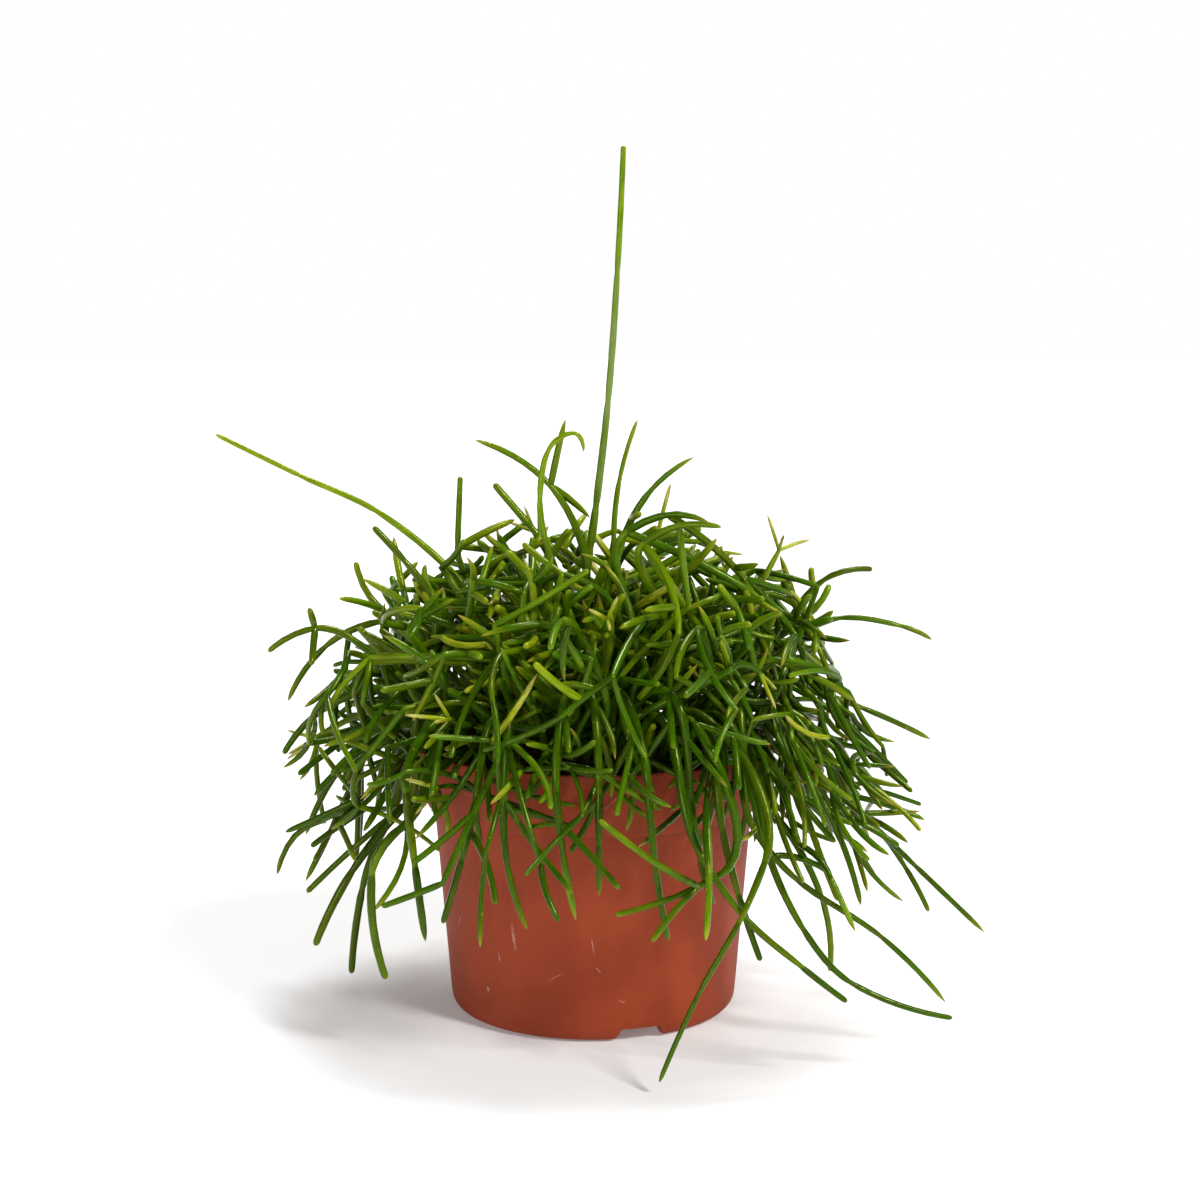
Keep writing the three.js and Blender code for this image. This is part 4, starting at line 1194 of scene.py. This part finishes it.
def rod_form(chain, traits):
    """A chain of shoots as one closed rod, with the marks that its finish reads."""
    points, faces = [], [tuple(reversed(range(SIDES)))]
    marks = {mark: [] for mark in MARKS}
    side = beside(unit(chain[0].slope(0)))
    run = SKIN_OFFSET * chain[0].index
    rings = 0
    for n, shoot in enumerate(chain):
        joined = n < len(chain) - 1
        length = size(shoot.end - shoot.start)
        foot, tip, tone, point = traits[shoot.index]
        hang = 0 if shoot.rank == ROW_RANK else slackness(shoot.end)
        from_pot = clamp((math.hypot(*shoot.end[:2]) - 74) / 14, 0, 1)
        thick = shoot.thick * (1 + hang * (0.24 * from_pot - 0.10))
        for at, wide in ring_marks(shoot, length, thick, point, joined)[1 if n else 0:]:
            t = min(at / length, 1)
            way = unit(shoot.slope(t))
            if t == 1 and joined:
                way = unit(way + chain[n + 1].heading)
            side = unit(side - (side @ way) * way)
            over = across(way, side)
            centre = shoot.point(t)
            fading = 0 if joined else clamp(1 - (length - at) / (1.5 + 10 * point), 0, 1)
            tipness = fading * (0.2 + 0.8 * math.sqrt(point))
            for k in range(SIDES):
                turn = 2 * math.pi * k / SIDES
                out = thick * wide * (math.cos(turn) * side + math.sin(turn) * over)
                points.append(centre + out)
                marks["skin"].append((thick * math.cos(turn), thick * math.sin(turn), run + at))
                if rings:
                    a, b = SIDES * (rings - 1) + k, SIDES * (rings - 1) + (k + 1) % SIDES
                    faces.append((a, b, b + SIDES, a + SIDES))
            rings += 1
            marks["youth"] += [foot + (tip - foot) * at / length] * SIDES
            marks["tone"] += [tone] * SIDES
            marks["tip"] += [tipness] * SIDES
            marks["wood"] += [woodiness(shoot, centre)] * SIDES
        run += length
    last = SIDES * (rings - 1)
    faces += [(last + k, last + (k + 1) % SIDES, SIDES * rings) for k in range(SIDES)]
    points.append(chain[-1].end)
    marks["skin"].append((0, 0, run))
    marks["youth"].append(marks["youth"][-1])
    marks["tone"].append(marks["tone"][-1])
    marks["tip"].append(0.2 + 0.8 * math.sqrt(traits[chain[-1].index][3]))
    marks["wood"].append(0)
    return points, faces, marks


def outerness(p):
    """0 deep inside the crown, 1 at its surface. It paints shade into the shoots deep in the crown."""
    out = math.hypot(p[0] - CROWN_CENTRE_X, p[1]) / CROWN_REACH
    up = clamp((p[2] - WAIST_Z) / (CROWN_TOP_Z - WAIST_Z), 0, 1)
    return clamp((math.hypot(out, up) - 0.5) / 0.4, 0, 1)


def shoot_traits(plant):
    """How young each shoot is at its foot and its tip, with painted shade and light in it, its tone, and how
    pointed it is.
    """
    dice = np.random.RandomState(5)
    traits = []
    for shoot in plant.shoots:
        youth, tone, point, luck, grade = dice.uniform(0, 1, 5)
        fresh = 0.24 + 0.2 * point if luck < 0.06 and not plant.kin[shoot.index] else 0
        # Partly real age, partly painted shade and light: shoots deep in the crown and low down are made
        # darker, those at its surface and top lighter.
        youth = 0.02 + 0.18 * youth + 0.12 * outerness(shoot.end) + 0.010 * shoot.rank + fresh
        youth += 0.15 * clamp((shoot.end[2] - 130) / 30, 0, 1)
        youth -= 0.06 * clamp((104 - shoot.end[2]) / 24, 0, 1)
        gain = 0.05 + 0.09 * luck
        point = 0.35 + 0.65 * point if grade < 0.5 else 0.12 * point
        is_new = shoot.rank == NEW_RANK
        traits.append(NEW_TRAITS if is_new else (youth - gain, youth + gain, tone, point))
    for name, (foot, tip, tone, point) in TINTS.items():
        row = [shoot for shoot in plant.shoots if shoot.stem == name and shoot.rank == ROW_RANK]
        for i, shoot in enumerate(row):
            part = (tip - foot) / len(row)
            traits[shoot.index] = (foot + i * part, foot + (i + 1) * part, tone, point)
        for shoot in plant.shoots:
            if shoot.stem == name and shoot.rank == SIDE_RANK and shoot.bare:
                traits[shoot.index] = (tip - 0.06, tip, tone, point)
    return traits


def stem_form(plant, own, traits):
    """All rods of one stem, with everything that grows on it."""
    followers = {following.index for following in (next_of(plant, shoot) for shoot in own) if following}
    rods = []
    for head in own:
        if head.index in followers:
            continue
        chain = [head]
        following = next_of(plant, head)
        while following:
            chain.append(following)
            following = next_of(plant, following)
        rods.append(rod_form(chain, traits))
    points, faces = gather([(rod_points, rod_faces) for rod_points, rod_faces, _ in rods])
    return points, faces, {mark: [value for rod in rods for value in rod[2][mark]] for mark in MARKS}


plant = grow_plant()
traits = shoot_traits(plant)
green_skin = shoot_finish("waxy_green_skin", BARK_BROWN)
young_skin = shoot_finish("waxy_young_skin", GREY_GREEN)
for name in dict.fromkeys(shoot.stem for shoot in plant.shoots):
    own = [shoot for shoot in plant.shoots if shoot.stem == name]
    is_young = name in YOUNG_STEMS
    points, faces, marks = stem_form(plant, own, traits)
    piece = make_piece(f"shoots_{name}", points, faces, young_skin if is_young else green_skin, marks)
    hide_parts(f"stem_{name}")
    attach(piece, "root")

# -------------------------------------------------------------------------- table and light
# The pot stands on a plain white table top. Soft light falls on it from the right and from above,
# and a little from the left. The camera looks down at it slightly.
CAMERA_PLACE = (2.3, -700, 223)
CAMERA_PITCH = 6.93
LENS = 62.85
TABLE_RADIUS = 40000
TABLE_THICKNESS = 20
TABLE_TOP_Z = -0.05
TABLE_WHITE = (0.9, 0.9, 0.895, 1)
TABLE_GLOW = 0.16
WHITE = (1, 1, 1, 1)
SKY = 0.13


def table_finish():
    finish = Finish("white_table")
    spot = finish.add("TexCoord", {}, {}, "Object")
    fine = finish.grain(spot, 300, 2)
    sockets = {"Base Color": TABLE_WHITE, "Roughness": 0.85 + fine * 0.1, "Specular IOR Level": 0.0}
    sockets["Emission Color"] = WHITE
    sockets["Emission Strength"] = TABLE_GLOW
    return finish.surface(sockets)


def soft_light(name, degrees, height, spread, strength):
    """A large distant light, from so many degrees round and above, as wide as its spread."""
    light = bpy.data.lights.new(name, "SUN")
    light.energy = strength
    light.angle = math.radians(spread)
    holder = bpy.data.objects.new(name, light)
    holder.rotation_euler = (math.radians(90 - height), 0, math.radians(degrees + 90))
    bpy.context.scene.collection.objects.link(holder)


table_edge = [(TABLE_RADIUS, -TABLE_THICKNESS), (TABLE_RADIUS, TABLE_TOP_Z)]
table_form = lathe([(0, -TABLE_THICKNESS)] + table_edge + [(0, TABLE_TOP_Z)], 96)
table = make_piece("table", *table_form, table_finish())
table.data.shade_flat()

soft_light("right", -42, 42, 12, 2.6)
soft_light("left", -122, 10, 15, 0.7)
soft_light("overhead", 70, 70, 20, 2.4)

# The sky lights the plant only a little, but the camera sees a white wall.
world = bpy.data.worlds.new("studio")
world.use_nodes = True
nodes, links = world.node_tree.nodes, world.node_tree.links
sky = nodes["Background"]
sky.inputs["Color"].default_value = WHITE
sky.inputs["Strength"].default_value = SKY
wall = nodes.new("ShaderNodeBackground")
wall.inputs["Color"].default_value = WHITE
seen = nodes.new("ShaderNodeLightPath")
either = nodes.new("ShaderNodeMixShader")
links.new(seen.outputs["Is Camera Ray"], either.inputs["Fac"])
links.new(sky.outputs["Background"], either.inputs[1])
links.new(wall.outputs["Background"], either.inputs[2])
links.new(either.outputs["Shader"], nodes["World Output"].inputs["Surface"])
bpy.context.scene.world = world
bpy.context.scene.view_settings.view_transform = "Standard"

camera = bpy.data.objects.new("camera", bpy.data.cameras.new("camera"))
camera.data.lens = LENS
camera.data.sensor_width = 36
camera.location = place(*CAMERA_PLACE) * MM
camera.rotation_euler = (math.radians(90 - CAMERA_PITCH), 0, 0)
bpy.context.scene.collection.objects.link(camera)
bpy.context.scene.camera = camera
